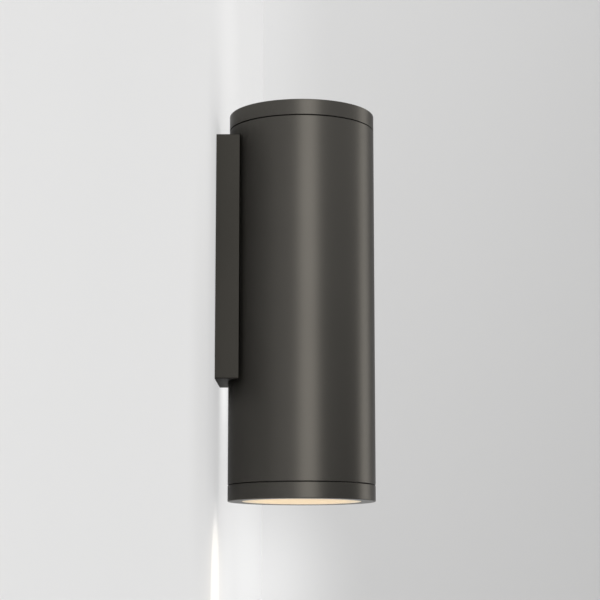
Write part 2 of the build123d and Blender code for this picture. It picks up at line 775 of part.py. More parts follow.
# ---------------------------------------------------------------- the assembly
def pieces():
    """Every piece of the light by its name."""
    return {
        "wall_bracket": wall_bracket(),
        "back_box": back_box(),
        "locking_screw": locking_screw(),
        "tube_body": tube_body(),
        "tube_screws": tube_screws(),
        "cable_bush": cable_bush(),
        "tray_spacers": tray_spacers(),
        "gear_tray": gear_tray(),
        "tray_nuts": tray_nuts(),
        "driver_case": driver_case(),
        "driver_cover": driver_cover(),
        "driver_screws": driver_screws(),
        "terminal_block": terminal_block(),
        "terminal_screws": terminal_screws(),
        "terminal_block_screws": terminal_block_screws(),
        "cord_clamp": cord_clamp(),
        "cord_clamp_screws": cord_clamp_screws(),
        "earth_tag": earth_tag(),
        "earth_screw": earth_screw(),
        "lead_live": mains_lead(-pole_pitch),
        "lead_neutral": mains_lead(0),
        "lead_earth": earth_lead(),
        "led_lead_positive": led_lead(1),
        "led_lead_negative": led_lead(-1),
        "heat_sink": heat_sink(),
        "heat_sink_screws": heat_sink_screws(),
        "thermal_pad": thermal_pad(),
        "led_board": led_board(),
        "led_chips": led_chips(),
        "board_screws": board_screws(),
        "reflector": reflector(),
        "reflector_screws": reflector_screws(),
        "diffuser_glass": diffuser_glass(),
        "lens_gasket": lens_gasket(),
        "bezel_seal": seal_ring(bottom_z, 1),
        "lower_bezel": lower_bezel(),
        "cap_seal": seal_ring(top_z, -1),
        "top_cap": top_cap(),
    }


os.makedirs("parts", exist_ok=True)
for piece_name, piece_shape in pieces().items():
    write(piece_name, piece_shape)
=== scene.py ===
"""Looks of a tube wall light: its finished pieces, materials, studio and camera.

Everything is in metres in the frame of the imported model.  The wall is the plane Y = 0, the
light stands out towards -Y and +Z is up.  The pieces that show are modelled here round the
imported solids, which keep their places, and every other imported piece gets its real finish.
"""

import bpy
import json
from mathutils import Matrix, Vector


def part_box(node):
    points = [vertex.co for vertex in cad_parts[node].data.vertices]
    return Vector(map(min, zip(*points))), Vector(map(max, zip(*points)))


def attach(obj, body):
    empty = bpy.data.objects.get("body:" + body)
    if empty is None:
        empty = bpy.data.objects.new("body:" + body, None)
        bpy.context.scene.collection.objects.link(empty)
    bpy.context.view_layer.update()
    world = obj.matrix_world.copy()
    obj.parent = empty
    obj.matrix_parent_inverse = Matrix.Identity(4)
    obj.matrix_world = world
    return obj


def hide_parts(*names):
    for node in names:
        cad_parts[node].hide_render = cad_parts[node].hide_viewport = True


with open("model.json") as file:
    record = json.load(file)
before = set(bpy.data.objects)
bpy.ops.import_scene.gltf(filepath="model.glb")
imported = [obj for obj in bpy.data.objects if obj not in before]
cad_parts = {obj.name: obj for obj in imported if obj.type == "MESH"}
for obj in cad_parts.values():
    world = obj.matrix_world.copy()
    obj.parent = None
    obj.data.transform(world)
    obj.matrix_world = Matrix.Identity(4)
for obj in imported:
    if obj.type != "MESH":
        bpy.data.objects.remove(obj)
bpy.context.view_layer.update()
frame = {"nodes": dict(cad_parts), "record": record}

import json
import logging
import math
from collections.abc import Callable, Iterable, Sequence
from dataclasses import dataclass, field
from enum import Enum

import bmesh
import bpy
from mathutils import Vector

MM = 0.001
QUARTER_TURN = math.pi / 2
FULL_TURN = 2 * math.pi
NEAR = 0.02 * MM
AXIS_Y = -52.3 * MM
BRACKET_MARGIN = 3 * MM
Piece = bpy.types.Object
Socket = bpy.types.NodeSocket
Node = bpy.types.Node
Tree = bpy.types.NodeTree
log = logging.getLogger("tube_wall_light")


# ------------------------------------------------------------------------------ workbench
def clear_selection() -> None:
    """Leaves edit mode and deselects every object."""
    if bpy.context.object and bpy.context.object.mode != "OBJECT":
        bpy.ops.object.mode_set(mode="OBJECT")
    bpy.ops.object.select_all(action="DESELECT")


def pick(*pieces: Piece) -> None:
    """Selects these pieces alone and makes the first one active."""
    clear_selection()
    for piece in pieces:
        piece.select_set(True)
    bpy.context.view_layer.objects.active = pieces[0]


def mark(action: str = "SELECT") -> None:
    """Selects or deselects all of the edited piece."""
    bpy.ops.mesh.select_all(action=action)


def edit(piece: Piece, action: str = "DESELECT") -> None:
    """Enters edit mode on one piece, with nothing or all of it selected."""
    pick(piece)
    bpy.ops.object.mode_set(mode="EDIT")
    mark(action)


def leave_edit() -> None:
    """Goes back to object mode."""
    bpy.ops.object.mode_set(mode="OBJECT")


def select_where(piece: Piece, kind: str, test: Callable[[Vector, Vector], bool]) -> None:
    """Selects the faces or edges of the edited piece that pass a test.

    Args:
        piece: The piece in edit mode.
        kind: FACE or EDGE.
        test: Says yes or no to a face's centre and its normal, or to an edge's two ends, all
            in the frame.
    """
    bpy.ops.mesh.select_mode(type=kind)
    mark("DESELECT")
    mesh = bmesh.from_edit_mesh(piece.data)
    if kind == "FACE":
        for face in mesh.faces:
            face.select = test(piece.matrix_world @ face.calc_center_median(), face.normal)
        mesh.select_flush_mode()
    else:
        for edge in mesh.edges:
            edge.select = test(*(piece.matrix_world @ vert.co for vert in edge.verts))
    bmesh.update_edit_mesh(piece.data)


def outward() -> None:
    """Merges doubles of the edited piece, turns its faces outwards and leaves edit mode."""
    mark()
    bpy.ops.mesh.remove_doubles(threshold=NEAR / 4)
    bpy.ops.mesh.normals_make_consistent(inside=False)
    leave_edit()


def fix_place(piece: Piece) -> None:
    """Puts the piece's place, turn and size into its mesh."""
    pick(piece)
    bpy.ops.object.transform_apply(location=True, rotation=True, scale=True)


def settle(piece: Piece, name: str) -> Piece:
    """Names a piece and puts its place into its mesh.

    Args:
        piece: The modelled piece.
        name: Its name in the assembly.

    Returns:
        The same piece, with its object at the origin.
    """
    fix_place(piece)
    piece.name = name
    piece.data.name = name
    return piece


def apply_modifier(piece: Piece, kind: str, **settings: object) -> None:
    """Adds one modifier with its settings and applies it.

    Args:
        piece: The piece that it works on.
        kind: Blender's name for the modifier type.
        settings: The modifier's own values.
    """
    pick(piece)
    modifier = piece.modifiers.new(kind.title(), kind)
    for key, value in settings.items():
        setattr(modifier, key, value)
    bpy.ops.object.modifier_apply(modifier=modifier.name)


def ease_edges(piece: Piece, width: float, steps: int = 2, sharp: float = 35.0) -> None:
    """Rounds the sharp edges of a piece by a small bevel."""
    apply_modifier(piece, "BEVEL", width=width, segments=steps, limit_method="ANGLE",
                   angle_limit=math.radians(sharp), harden_normals=False)


def smooth(piece: Piece, angle: float = 32.0) -> None:
    """Shades a piece smooth wherever its faces meet at less than an angle."""
    pick(piece)
    bpy.ops.object.shade_smooth_by_angle(angle=math.radians(angle))


def polish(piece: Piece) -> None:
    """Shades a modelled piece smooth and keeps its broad flat faces flat."""
    smooth(piece)
    apply_modifier(piece, "WEIGHTED_NORMAL", mode="FACE_AREA_WITH_ANGLE", keep_sharp=True)


def combine(piece: Piece, other: Piece, how: str = "DIFFERENCE") -> None:
    """Cuts, joins or keeps what two closed shapes share, and removes the second.

    Args:
        piece: The shape that stays.
        other: The shape that is used up.
        how: DIFFERENCE, UNION or INTERSECT.
    """
    apply_modifier(piece, "BOOLEAN", operation=how, object=other, solver="EXACT")
    bpy.data.objects.remove(other)


def join(piece: Piece, others: Iterable[Piece]) -> None:
    """Makes several closed shapes one object."""
    pick(piece, *others)
    bpy.ops.object.join()


def copy_by(piece: Piece, shift: Vector) -> Piece:
    """Copies a piece with its own mesh and moves the copy."""
    pick(piece)
    bpy.ops.object.duplicate()
    bpy.ops.transform.translate(value=shift)
    return bpy.context.object


def solids_of(node: str) -> list[tuple[Vector, Vector]]:
    """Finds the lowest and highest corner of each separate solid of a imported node."""
    mesh = bmesh.new()
    mesh.from_mesh(frame["nodes"][node].data)
    bmesh.ops.remove_doubles(mesh, verts=mesh.verts, dist=NEAR / 4)
    left, boxes = set(mesh.verts), []
    while left:
        waiting, island = [left.pop()], []
        while waiting:
            vert = waiting.pop()
            island.append(vert.co.copy())
            near = {edge.other_vert(vert) for edge in vert.link_edges} & left
            left -= near
            waiting += near
        boxes.append(tuple(Vector(pick_of(co[i] for co in island) for i in range(3))
                           for pick_of in (min, max)))
    mesh.free()
    return sorted(boxes, key=lambda box: tuple(box[0]))


class Axis(Enum):
    """Which way a round bar or a screw points."""

    X = (0.0, QUARTER_TURN, 0.0)
    Y = (QUARTER_TURN, 0.0, 0.0)
    Z = (0.0, 0.0, 0.0)


def bar(radius: float, middle: Vector, length: float, axis: Axis, sides: int = 48) -> Piece:
    """Makes a round bar with a number of flats round it, as a blank or a cutter."""
    clear_selection()
    bpy.ops.mesh.primitive_cylinder_add(vertices=sides, radius=radius, depth=length,
                                        location=middle, rotation=axis.value)
    return bpy.context.object


def slab(low: Vector, high: Vector) -> Piece:
    """Rectangular blank or cutter between two corners."""
    clear_selection()
    bpy.ops.mesh.primitive_cube_add(size=1, location=(low + high) / 2)
    piece = bpy.context.object
    edit(piece, "SELECT")
    bpy.ops.transform.resize(value=high - low, center_override=(low + high) / 2)
    leave_edit()
    return piece


def turned(centre: Vector, outline: Sequence[tuple[float, float]], sides: int = 288) -> Piece:
    """Turns an outline about the light's upright axis, drawn out from one circle.

    Args:
        centre: A point on the axis.
        outline: Radius and height of each station.  It is closed where it ends at its start,
            and otherwise both its ends are filled.
        sides: Number of flats round it.

    Returns:
        The turned shape, closed and with its faces outwards.
    """
    radius, height = outline[0]
    clear_selection()
    bpy.ops.mesh.primitive_circle_add(vertices=sides, radius=radius, fill_type="NOTHING",
                                      location=(centre.x, centre.y, height))
    piece = bpy.context.object
    edit(piece)
    bpy.ops.mesh.select_mode(type="EDGE")
    mark()
    for next_radius, next_height in outline[1:]:
        rise = (0, 0, next_height - height)
        bpy.ops.mesh.extrude_region_move(TRANSFORM_OT_translate={"value": rise})
        share = next_radius / radius
        bpy.ops.transform.resize(value=(share, share, 1),
                                 center_override=(centre.x, centre.y, next_height))
        radius, height = next_radius, next_height
    mark()
    bpy.ops.mesh.remove_doubles(threshold=NEAR / 4)
    bpy.ops.mesh.fill_holes(sides=0)
    outward()
    return piece


@dataclass(frozen=True)
class Thread:
    """Single-start screw thread on or in a round wall."""

    pitch: float = 1.5 * MM
    root_width: float = 0.8 * MM
    crest_width: float = 0.15 * MM
    steps: int = 120

    def ridge(self, centre: Vector, root: float, crest: float, low: float,
              turns: float) -> Piece:
        """Winds the thread's ridge from a trapezoid section.

        Args:
            centre: A point on the thread's axis.
            root: Radius of the wall that the ridge stands on.
            crest: Radius of the ridge's crest, inside or outside the root.
            low: Height of the section's middle at the start.
            turns: Number of turns that it climbs.

        Returns:
            The closed ridge.
        """
        clear_selection()
        middle = (centre.x + (root + crest) / 2, centre.y, low)
        bpy.ops.mesh.primitive_plane_add(size=1, location=middle, rotation=Axis.Y.value)
        piece = bpy.context.object
        edit(piece, "SELECT")
        bpy.ops.transform.resize(value=(abs(crest - root), 1, self.root_width),
                                 center_override=middle)
        select_where(piece, "EDGE", lambda a, b: abs(a.x - centre.x - crest) < NEAR
                     and abs(b.x - centre.x - crest) < NEAR)
        bpy.ops.transform.resize(value=(1, 1, self.crest_width / self.root_width),
                                 center_override=(centre.x + crest, centre.y, low))
        mark()
        bpy.ops.mesh.delete(type="ONLY_FACE")
        leave_edit()
        bpy.context.scene.cursor.location = (centre.x, centre.y, low)
        bpy.ops.object.transform_apply(location=True, rotation=True, scale=True)
        bpy.ops.object.origin_set(type="ORIGIN_CURSOR")
        steps = round(self.steps * turns)
        apply_modifier(piece, "SCREW", angle=FULL_TURN * turns, screw_offset=self.pitch * turns,
                       steps=steps, render_steps=steps, use_merge_vertices=False)
        edit(piece, "SELECT")
        bpy.ops.mesh.fill_holes(sides=0)
        outward()
        bpy.context.scene.cursor.location = (0, 0, 0)
        fix_place(piece)
        return piece


def drill_rear(piece: Piece, rear: float, length: float, screw: float, bush: float) -> None:
    """Drills the rear wall of a piece for the tube screws and the cable bush.

    Args:
        piece: The tube or the box.
        rear: Where its rear wall is along Y.
        length: Length of the drill.
        screw: Radius of the holes for the screws.
        bush: Radius of the hole for the bush.
    """
    for name, radius in (("tray_spacers", screw), ("cable_bush", bush)):
        low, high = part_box(name)
        half = (high.x - low.x) / 2
        for height in sorted({round(z, 5) for z in (low.z + half, high.z - half)}):
            combine(piece, bar(radius, Vector((0, rear, height)), length, Axis.Y))


# ------------------------------------------------------------------------------- finishes
class Sheet:
    """A node tree that is filled from left to right."""

    def __init__(self, tree: Tree) -> None:
        """Starts on an empty tree."""
        self.tree = tree
        tree.nodes.clear()

    def add(self, kind: str, links: dict[object, object] | None = None,
            **settings: object) -> Node:
        """Adds one node.

        Args:
            kind: Blender's name for the node type.
            links: For each input, by name or number, a value or the socket that feeds it.
            settings: The node's own properties.

        Returns:
            The node.
        """
        node = self.tree.nodes.new(kind)
        for key, value in settings.items():
            setattr(node, key, value)
        for key, value in (links or {}).items():
            if isinstance(value, Socket):
                self.tree.links.new(value, node.inputs[key])
            else:
                node.inputs[key].default_value = value
        return node

    def ramp(self, factor: Socket, low: float, high: float, start: float, end: float,
             kind: str = "LINEAR") -> Socket:
        """Maps a mask's range onto another range, held at both ends."""
        return self.add("ShaderNodeMapRange", {
            "Value": factor, "From Min": low, "From Max": high, "To Min": start, "To Max": end},
            interpolation_type=kind).outputs["Result"]

    def soft(self, factor: Socket, low: float, high: float, start: float, end: float) -> Socket:
        """Maps one range onto another with soft ends."""
        return self.ramp(factor, low, high, start, end, "SMOOTHSTEP")

    def math(self, how: str, *values: object) -> Socket:
        """Works out one number from others."""
        return self.add("ShaderNodeMath", dict(enumerate(values)), operation=how).outputs[0]

    def mix(self, factor: Socket, first: object, second: object) -> Socket:
        """Mixes two colours by a mask."""
        node = self.add("ShaderNodeMix", {0: factor, 6: first, 7: second}, data_type="RGBA")
        return node.outputs[2]

    def blend(self, factor: Socket, first: Socket, second: Socket) -> Socket:
        """Mixes two shaders by a mask."""
        return self.add("ShaderNodeMixShader", {0: factor, 1: first, 2: second}).outputs[0]

    def grey(self, level: object) -> Socket:
        """Makes a number a grey colour."""
        return self.add("ShaderNodeCombineColor", {0: level, 1: level, 2: level}).outputs[0]

    def place(self) -> Socket:
        """Reads the object coordinates."""
        return self.add("ShaderNodeTexCoord").outputs["Object"]

    def noise(self, scale: object, detail: float = 2.0, rough: float = 0.5,
              place: Socket | None = None) -> Socket:
        """Draws noise on the object coordinates, or on others."""
        return self.add("ShaderNodeTexNoise", {
            "Vector": self.place() if place is None else place, "Scale": scale,
            "Detail": detail, "Roughness": rough}).outputs["Fac"]

    def close(self, surface: Socket, kind: str = "ShaderNodeOutputMaterial") -> None:
        """Ends the tree in its output node."""
        self.add(kind, {"Surface": surface})


def new_material(name: str) -> tuple[bpy.types.Material, Sheet]:
    """Starts a material and its sheet."""
    material = bpy.data.materials.new(name)
    material.use_nodes = True
    return material, Sheet(material.node_tree)


def new_group(name: str, inputs: dict[str, object],
              *outputs: str) -> tuple[Sheet, bpy.types.NodeOutputs]:
    """Starts a shader node group.

    Args:
        name: Its name.
        inputs: Name and first value of each input.
        outputs: Name of each output, all of them numbers.

    Returns:
        Its sheet and the sockets that give its inputs.
    """
    tree = bpy.data.node_groups.new(name, "ShaderNodeTree")
    for label, value in inputs.items():
        kind = "NodeSocketVector" if isinstance(value, tuple) else "NodeSocketFloat"
        socket = tree.interface.new_socket(name=label, in_out="INPUT", socket_type=kind)
        socket.default_value = value
    for label in outputs:
        tree.interface.new_socket(name=label, in_out="OUTPUT", socket_type="NodeSocketFloat")
    sheet = Sheet(tree)
    return sheet, sheet.add("NodeGroupInput").outputs


def surface_grain_group() -> Tree:
    """Fine grain with a slow drift of tone, on object coordinates.

    Returns:
        The group, with the outputs Height and Tone.
    """
    sheet, given = new_group("surface_grain", {"Scale": 900.0, "Stretch": (1, 1, 1),
                                               "Drift": 14.0}, "Height", "Tone")
    drawn = sheet.add("ShaderNodeVectorMath", {0: sheet.place(), 1: given["Stretch"]},
                      operation="MULTIPLY").outputs[0]
    sheet.add("NodeGroupOutput", {"Height": sheet.noise(given["Scale"], 3.0, 0.6, drawn),
                                  "Tone": sheet.noise(given["Drift"])})
    return sheet.tree


def resting_dust_group() -> Tree:
    """Thin dust that lies where a surface faces up.

    Returns:
        The group, with the output Mask.
    """
    sheet, given = new_group("resting_dust", {"Amount": 0.2, "Scale": 60.0}, "Mask")
    facing = sheet.add("ShaderNodeSeparateXYZ",
                       {0: sheet.add("ShaderNodeNewGeometry").outputs["Normal"]}).outputs["Z"]
    lying = sheet.math("MULTIPLY", sheet.ramp(facing, 0.6, 1.0, 0.0, 1.0),
                       sheet.ramp(sheet.noise(given["Scale"], 4.0), 0.35, 0.7, 0.2, 1.0))
    sheet.add("NodeGroupOutput", {"Mask": sheet.math("MULTIPLY", lying, given["Amount"])})
    return sheet.tree


@dataclass(frozen=True)
class Finish:
    """One finish of the light: colour, gloss and grain."""

    slot: str
    colour: tuple[float, float, float]
    name: str = ""
    metallic: float = 0.0
    roughness: float = 0.5
    tone: float = 0.06
    grain: float = 900.0
    stretch: tuple[float, float, float] = (1.0, 1.0, 1.0)
    depth: float = 0.004 * MM
    dust: float = 0.0
    settings: dict[str, float | tuple[float, ...]] = field(default_factory=dict)

    def shade(self, share: float) -> tuple[float, ...]:
        """Gives the colour made paler or darker by a share."""
        return (*(min(1, c * share) for c in self.colour), 1)

    def colour_of(self, sheet: Sheet, grain: Node) -> Socket:
        """Draws the surface's colour.

        Args:
            sheet: The material's nodes.
            grain: The grain group in it.

        Returns:
            The colour, drifting a little in tone.
        """
        return sheet.mix(sheet.ramp(grain.outputs["Tone"], 0.3, 0.7, 0.0, 1.0),
                         self.shade(1 - self.tone), self.shade(1 + self.tone))

    def finish_off(self, sheet: Sheet, shader: Node) -> None:
        """Adds what only this finish has; a plain one has nothing more."""

    def make(self, groups: dict[str, Tree]) -> bpy.types.Material:
        """Builds the material.

        Args:
            groups: The shared node groups by name.

        Returns:
            The material.
        """
        material, sheet = new_material((self.name or self.slot) + "_finish")
        grain = sheet.add("ShaderNodeGroup", {"Scale": self.grain, "Stretch": self.stretch},
                          node_tree=groups["surface_grain"])
        colour = self.colour_of(sheet, grain)
        if self.dust:
            dust = sheet.add("ShaderNodeGroup", {"Amount": self.dust},
                             node_tree=groups["resting_dust"])
            colour = sheet.mix(dust.outputs["Mask"], colour, DUST_COLOUR)
        height = grain.outputs["Height"]
        rough = sheet.ramp(height, 0.25, 0.75, self.roughness * (1 - ROUGH_SPREAD),
                           min(1.0, self.roughness * (1 + ROUGH_SPREAD)))
        bump = sheet.add("ShaderNodeBump", {"Height": height, "Strength": 1.0,
                                            "Distance": self.depth})
        shader = sheet.add("ShaderNodeBsdfPrincipled", {
            "Base Color": colour, "Metallic": self.metallic, "Roughness": rough,
            "Normal": bump.outputs["Normal"], **self.settings})
        self.finish_off(sheet, shader)
        sheet.close(shader.outputs[0])
        return material


@dataclass(frozen=True)
class PlatedSteel(Finish):
    """Zinc-plated sheet steel with faint spangles."""

    def colour_of(self, sheet: Sheet, grain: Node) -> Socket:
        """Lets flat crystals of the plating show a little paler or darker."""
        crystal = sheet.add("ShaderNodeTexVoronoi", {"Vector": sheet.place(), "Scale": 260.0})
        value = sheet.add("ShaderNodeSeparateColor", {0: crystal.outputs["Color"]})
        return sheet.mix(sheet.ramp(value.outputs[0], 0.0, 1.0, 0.0, 0.5),
                         super().colour_of(sheet, grain), self.shade(1.25))


@dataclass(frozen=True)
class StripedInsulation(Finish):
    """Insulation with a second colour wound along it."""

    stripe: tuple[float, float, float] = (0.75, 0.6, 0.03)

    def colour_of(self, sheet: Sheet, grain: Node) -> Socket:
        """Lays slanting stripes of the second colour over the first."""
        wave = sheet.add("ShaderNodeTexWave", {"Vector": sheet.place(), "Scale": 130.0,
                                               "Distortion": 0.0}, bands_direction="DIAGONAL")
        mask = sheet.ramp(wave.outputs["Fac"], 0.45, 0.55, 0.0, 1.0)
        return sheet.mix(mask, super().colour_of(sheet, grain), (*self.stripe, 1))


@dataclass(frozen=True)
class PrintedBoard(Finish):
    """White solder resist with paler copper areas showing through."""

    def colour_of(self, sheet: Sheet, grain: Node) -> Socket:
        """Shades the resist over the copper fields."""
        field_of = sheet.add("ShaderNodeTexVoronoi", {"Vector": sheet.place(), "Scale": 90.0},
                             feature="DISTANCE_TO_EDGE")
        gap = sheet.ramp(field_of.outputs["Distance"], 0.02, 0.05, 1.0, 0.0)
        return sheet.mix(gap, super().colour_of(sheet, grain), (0.62, 0.64, 0.6, 1))


@dataclass(frozen=True)
class LitOpal(Finish):
    """Opal glass, lit warm from behind, a little dimmer and redder at its rim."""

    glow: tuple[float, float, float] = (1.0, 0.53, 0.11)
    rim_glow: tuple[float, float, float] = (0.22, 0.13, 0.05)
    strength: float = 0.335
    lit_radius: float = 36.6 * MM
    rim_from: float = 0.72

    def finish_off(self, sheet: Sheet, shader: Node) -> None:
        """Makes the glass glow, by the distance from its middle."""
        flat = sheet.add("ShaderNodeVectorMath", {0: sheet.place(), 1: (1, 1, 0)},
                         operation="MULTIPLY")
        away = sheet.add("ShaderNodeVectorMath", {0: flat.outputs[0], 1: (0, AXIS_Y, 0)},
                         operation="DISTANCE")
        edge = sheet.ramp(away.outputs["Value"], self.lit_radius * self.rim_from,
                          self.lit_radius, 0.0, 1.0)
        glow = sheet.mix(edge, (*self.glow, 1), (*self.rim_glow, 1))
        sheet.tree.links.new(glow, shader.inputs["Emission Color"])
        shader.inputs["Emission Strength"].default_value = self.strength


ROUGH_SPREAD = 0.08
DUST_COLOUR = (0.42, 0.4, 0.37, 1)
EDGE_TINT = (0.62, 0.62, 0.62, 1.0)
LEAD = {"roughness": 0.45, "grain": 1800.0}
FINISHES: tuple[Finish, ...] = (
    Finish("graphite_metal", (0.075, 0.0712, 0.0642), metallic=1.0, roughness=0.34, tone=0.035,
           grain=5200.0, depth=0.0012 * MM, dust=0.05, settings={"Specular Tint": EDGE_TINT}),
    # Darker copy of graphite_metal for the back box: its darker colour is painted shade, as the box
    # sits in shadow close to the wall; its higher roughness is the casting's own.
    Finish("graphite_metal", (0.043, 0.041, 0.0365), name="graphite_casting_shaded", metallic=1.0,
           roughness=0.5, tone=0.05, grain=3600.0, depth=0.003 * MM, dust=0.05,
           settings={"Specular Tint": EDGE_TINT}),
    PlatedSteel("zinc_steel", (0.52, 0.53, 0.54), metallic=1.0, roughness=0.36, tone=0.08),
    Finish("screw_steel", (0.5, 0.5, 0.49), metallic=1.0, roughness=0.3, grain=1500.0),
    Finish("black_screw", (0.03, 0.03, 0.03), metallic=0.8, roughness=0.4, grain=1500.0),
    Finish("black_rubber", (0.018, 0.018, 0.018), roughness=0.72, grain=2600.0, depth=0.01 * MM,
           dust=0.1),
    Finish("driver_plastic", (0.7, 0.71, 0.7), roughness=0.5, grain=2200.0, depth=0.006 * MM),
    Finish("terminal_plastic", (0.62, 0.6, 0.55), roughness=0.42, grain=1800.0),
    Finish("clamp_plastic", (0.05, 0.05, 0.052), roughness=0.48, grain=2000.0, depth=0.006 * MM),
    Finish("brass", (0.62, 0.46, 0.2), metallic=1.0, roughness=0.28, grain=1500.0),
    Finish("tinned_brass", (0.62, 0.6, 0.55), metallic=1.0, roughness=0.33, grain=1200.0),
    Finish("brown_insulation", (0.13, 0.055, 0.025), **LEAD),
    Finish("blue_insulation", (0.03, 0.12, 0.42), **LEAD),
    StripedInsulation("green_yellow_insulation", (0.05, 0.3, 0.06), **LEAD),
    Finish("red_insulation", (0.45, 0.03, 0.025), **LEAD),
    Finish("black_insulation", (0.02, 0.02, 0.02), **LEAD),
    Finish("bare_aluminium", (0.62, 0.62, 0.61), metallic=1.0, roughness=0.34, grain=700.0,
           stretch=(1.0, 0.05, 1.0), depth=0.01 * MM),
    Finish("thermal_silicone", (0.3, 0.32, 0.36), roughness=0.65, grain=1800.0),
    PrintedBoard("white_board", (0.8, 0.81, 0.79), roughness=0.35, grain=1500.0),
    Finish("led_phosphor", (0.85, 0.68, 0.18), roughness=0.5, grain=2500.0,
           settings={"Emission Strength": 0.6}),
    Finish("white_plastic", (0.8, 0.8, 0.79), roughness=0.4, grain=2200.0),
    LitOpal("opal_glass", (0.765, 0.705, 0.545), roughness=0.42, tone=0.01, grain=600.0,
            depth=0.001 * MM),
    Finish("clear_silicone", (0.6, 0.61, 0.6), roughness=0.35, grain=1500.0,
           settings={"Transmission Weight": 0.35}),
)


class FinishRoom:
    """Every material of the light, and the handing out of them."""

    def __init__(self) -> None:
        """Builds the shared node groups and then each finish."""
        groups = {tree.name: tree for tree in (surface_grain_group(), resting_dust_group())}
        self.materials = {finish.name or finish.slot: finish.make(groups) for finish in FINISHES}
        self.slots = {part["node"]: part["material_slot"] for part in frame["record"]["subparts"]}
        self.bodies = {node: body for body, nodes in frame["record"]["behaviour"]["bodies"].items()
                       for node in nodes}

    def coat(self, piece: Piece, *finishes: str) -> None:
        """Gives a piece its finishes, the first one all over."""
        piece.data.materials.clear()
        for finish in finishes:
            piece.data.materials.append(self.materials[finish])

    def dress(self, piece: Piece, node: str, *finishes: str) -> None:
        """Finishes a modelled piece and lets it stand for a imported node.

        Args:
            piece: The modelled piece.
            node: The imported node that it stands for, which gives its slot and body.
            finishes: Its finishes, where they aren't the slot's own.
        """
        slot, body = self.slots[node], self.bodies[node]
        self.coat(piece, *(finishes or (slot,)))
        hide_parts(node)
        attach(piece, body)
        log.info("%s: %d faces, %s, rides on %s", piece.name, len(piece.data.polygons), slot, body)


# --------------------------------------------------------------------------- sub-assemblies
@dataclass
class Tube:
    """The round tube: smooth outside, with a thread inside each end."""

    wall: float = 3.0 * MM
    end_ease: float = 0.25 * MM
    thread: Thread = Thread()
    thread_turns: float = 2.4
    thread_inset: float = 3.05 * MM
    crest: float = 0.26 * MM
    screw_hole: float = 2.3 * MM
    bush_hole: float = 7.0 * MM

    def __post_init__(self) -> None:
        """Reads the tube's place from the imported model."""
        self.low, self.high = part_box("tube_body")
        self.centre = (self.low + self.high) / 2
        self.radius = (self.high.x - self.low.x) / 2
        self.bore = self.radius - self.wall

    def build(self, room: FinishRoom) -> None:
        """Turns the tube, drills its rear wall, winds its threads and dresses it."""
        low, high, ease = self.low.z, self.high.z, self.end_ease
        outline = [(self.bore, low), (self.radius - ease, low), (self.radius, low + ease),
                   (self.radius, high - ease), (self.radius - ease, high), (self.bore, high),
                   (self.bore, low)]
        tube = turned(self.centre, outline)
        drill_rear(tube, self.high.y, self.radius, self.screw_hole, self.bush_hole)
        ease_edges(tube, ease / 3)
        climb = self.thread.pitch * self.thread_turns
        starts = low + self.thread_inset, high - self.thread_inset - climb
        ridges = [self.thread.ridge(self.centre, self.bore + NEAR, self.bore - self.crest, start,
                                    self.thread_turns) for start in starts]
        join(tube, ridges)
        polish(tube)
        room.dress(settle(tube, "tube"), "tube_body")


@dataclass
class ThreadedRing:
    """What the cap and the bezel share: an outer rim, a shadow line and a threaded spigot."""

    tube: Tube
    rim_height: float = 9.6 * MM
    rim_ease: float = 0.3 * MM
    seam_ease: float = 0.25 * MM
    spigot_gap: float = 0.3 * MM
    spigot_wall: float = 3.4 * MM
    seal_groove: tuple[float, float] = (1.2 * MM, 2.8 * MM)
    groove_depth: float = 1.3 * MM
    thread_start: float = 3.05 * MM
    thread_turns: float = 1.9
    crest: float = 0.2 * MM

    def rim_and_spigot(self, face: float, end: float, way: int) -> list[tuple[float, float]]:
        """Draws the outline from the outer face to the inside of the spigot's end.

        Args:
            face: Height of the outer face.
            end: Height of the spigot's end.
            way: 1 for a spigot that points up and -1 for one that points down.

        Returns:
            Radius and height of each station.
        """
        radius, bore = self.tube.radius, self.tube.bore
        spigot = bore - self.spigot_gap
        seam = face + way * self.rim_height
        upper, lower = (seam + way * depth for depth in self.seal_groove)
        floor = bore - self.groove_depth - self.spigot_gap
        return [(radius - self.rim_ease, face), (radius, face + way * self.rim_ease),
                (radius, seam - way * self.seam_ease), (radius - self.seam_ease, seam),
                (spigot, seam), (spigot, upper), (floor, upper), (floor, lower),
                (spigot, lower), (spigot, end - way * self.rim_ease),
                (spigot - self.rim_ease, end), (spigot - self.spigot_wall, end)]

    def thread_on(self, face: float, way: int) -> Piece:
        """Winds the spigot's thread, half a pitch off the tube's own."""
        thread = self.tube.thread
        near = face + way * (self.rim_height + self.thread_start + thread.pitch / 2)
        start = near if way > 0 else near - thread.pitch * self.thread_turns
        spigot = self.tube.bore - self.spigot_gap
        return thread.ridge(self.tube.centre, spigot - NEAR, spigot + self.crest, start,
                            self.thread_turns)

    def make(self, room: FinishRoom, node: str, outline: Sequence[tuple[float, float]],
             face: float, way: int, ease: float) -> None:
        """Turns the ring, winds its thread on and dresses it.

        Args:
            room: Where the finishes come from.
            node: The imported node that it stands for.
            outline: Radius and height of each station.
            face: Height of the outer face.
            way: 1 for a spigot that points up and -1 for one that points down.
            ease: Width of the small round on its edges.
        """
        ring = turned(self.tube.centre, outline)
        ease_edges(ring, ease)
        join(ring, [self.thread_on(face, way)])
        polish(ring)
        room.dress(settle(ring, type(self).__name__.lower()), node)


@dataclass
class Cap(ThreadedRing):
    """The cap that closes the top of the tube."""

    roof: float = 3.2 * MM

    def build(self, room: FinishRoom) -> None:
        """Models and dresses the cap."""
        low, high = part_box("top_cap")
        outline = self.rim_and_spigot(high.z, low.z, -1)
        outline.append((outline[-1][0], high.z - self.roof))
        self.make(room, "top_cap", outline, high.z, -1, self.seam_ease / 3)


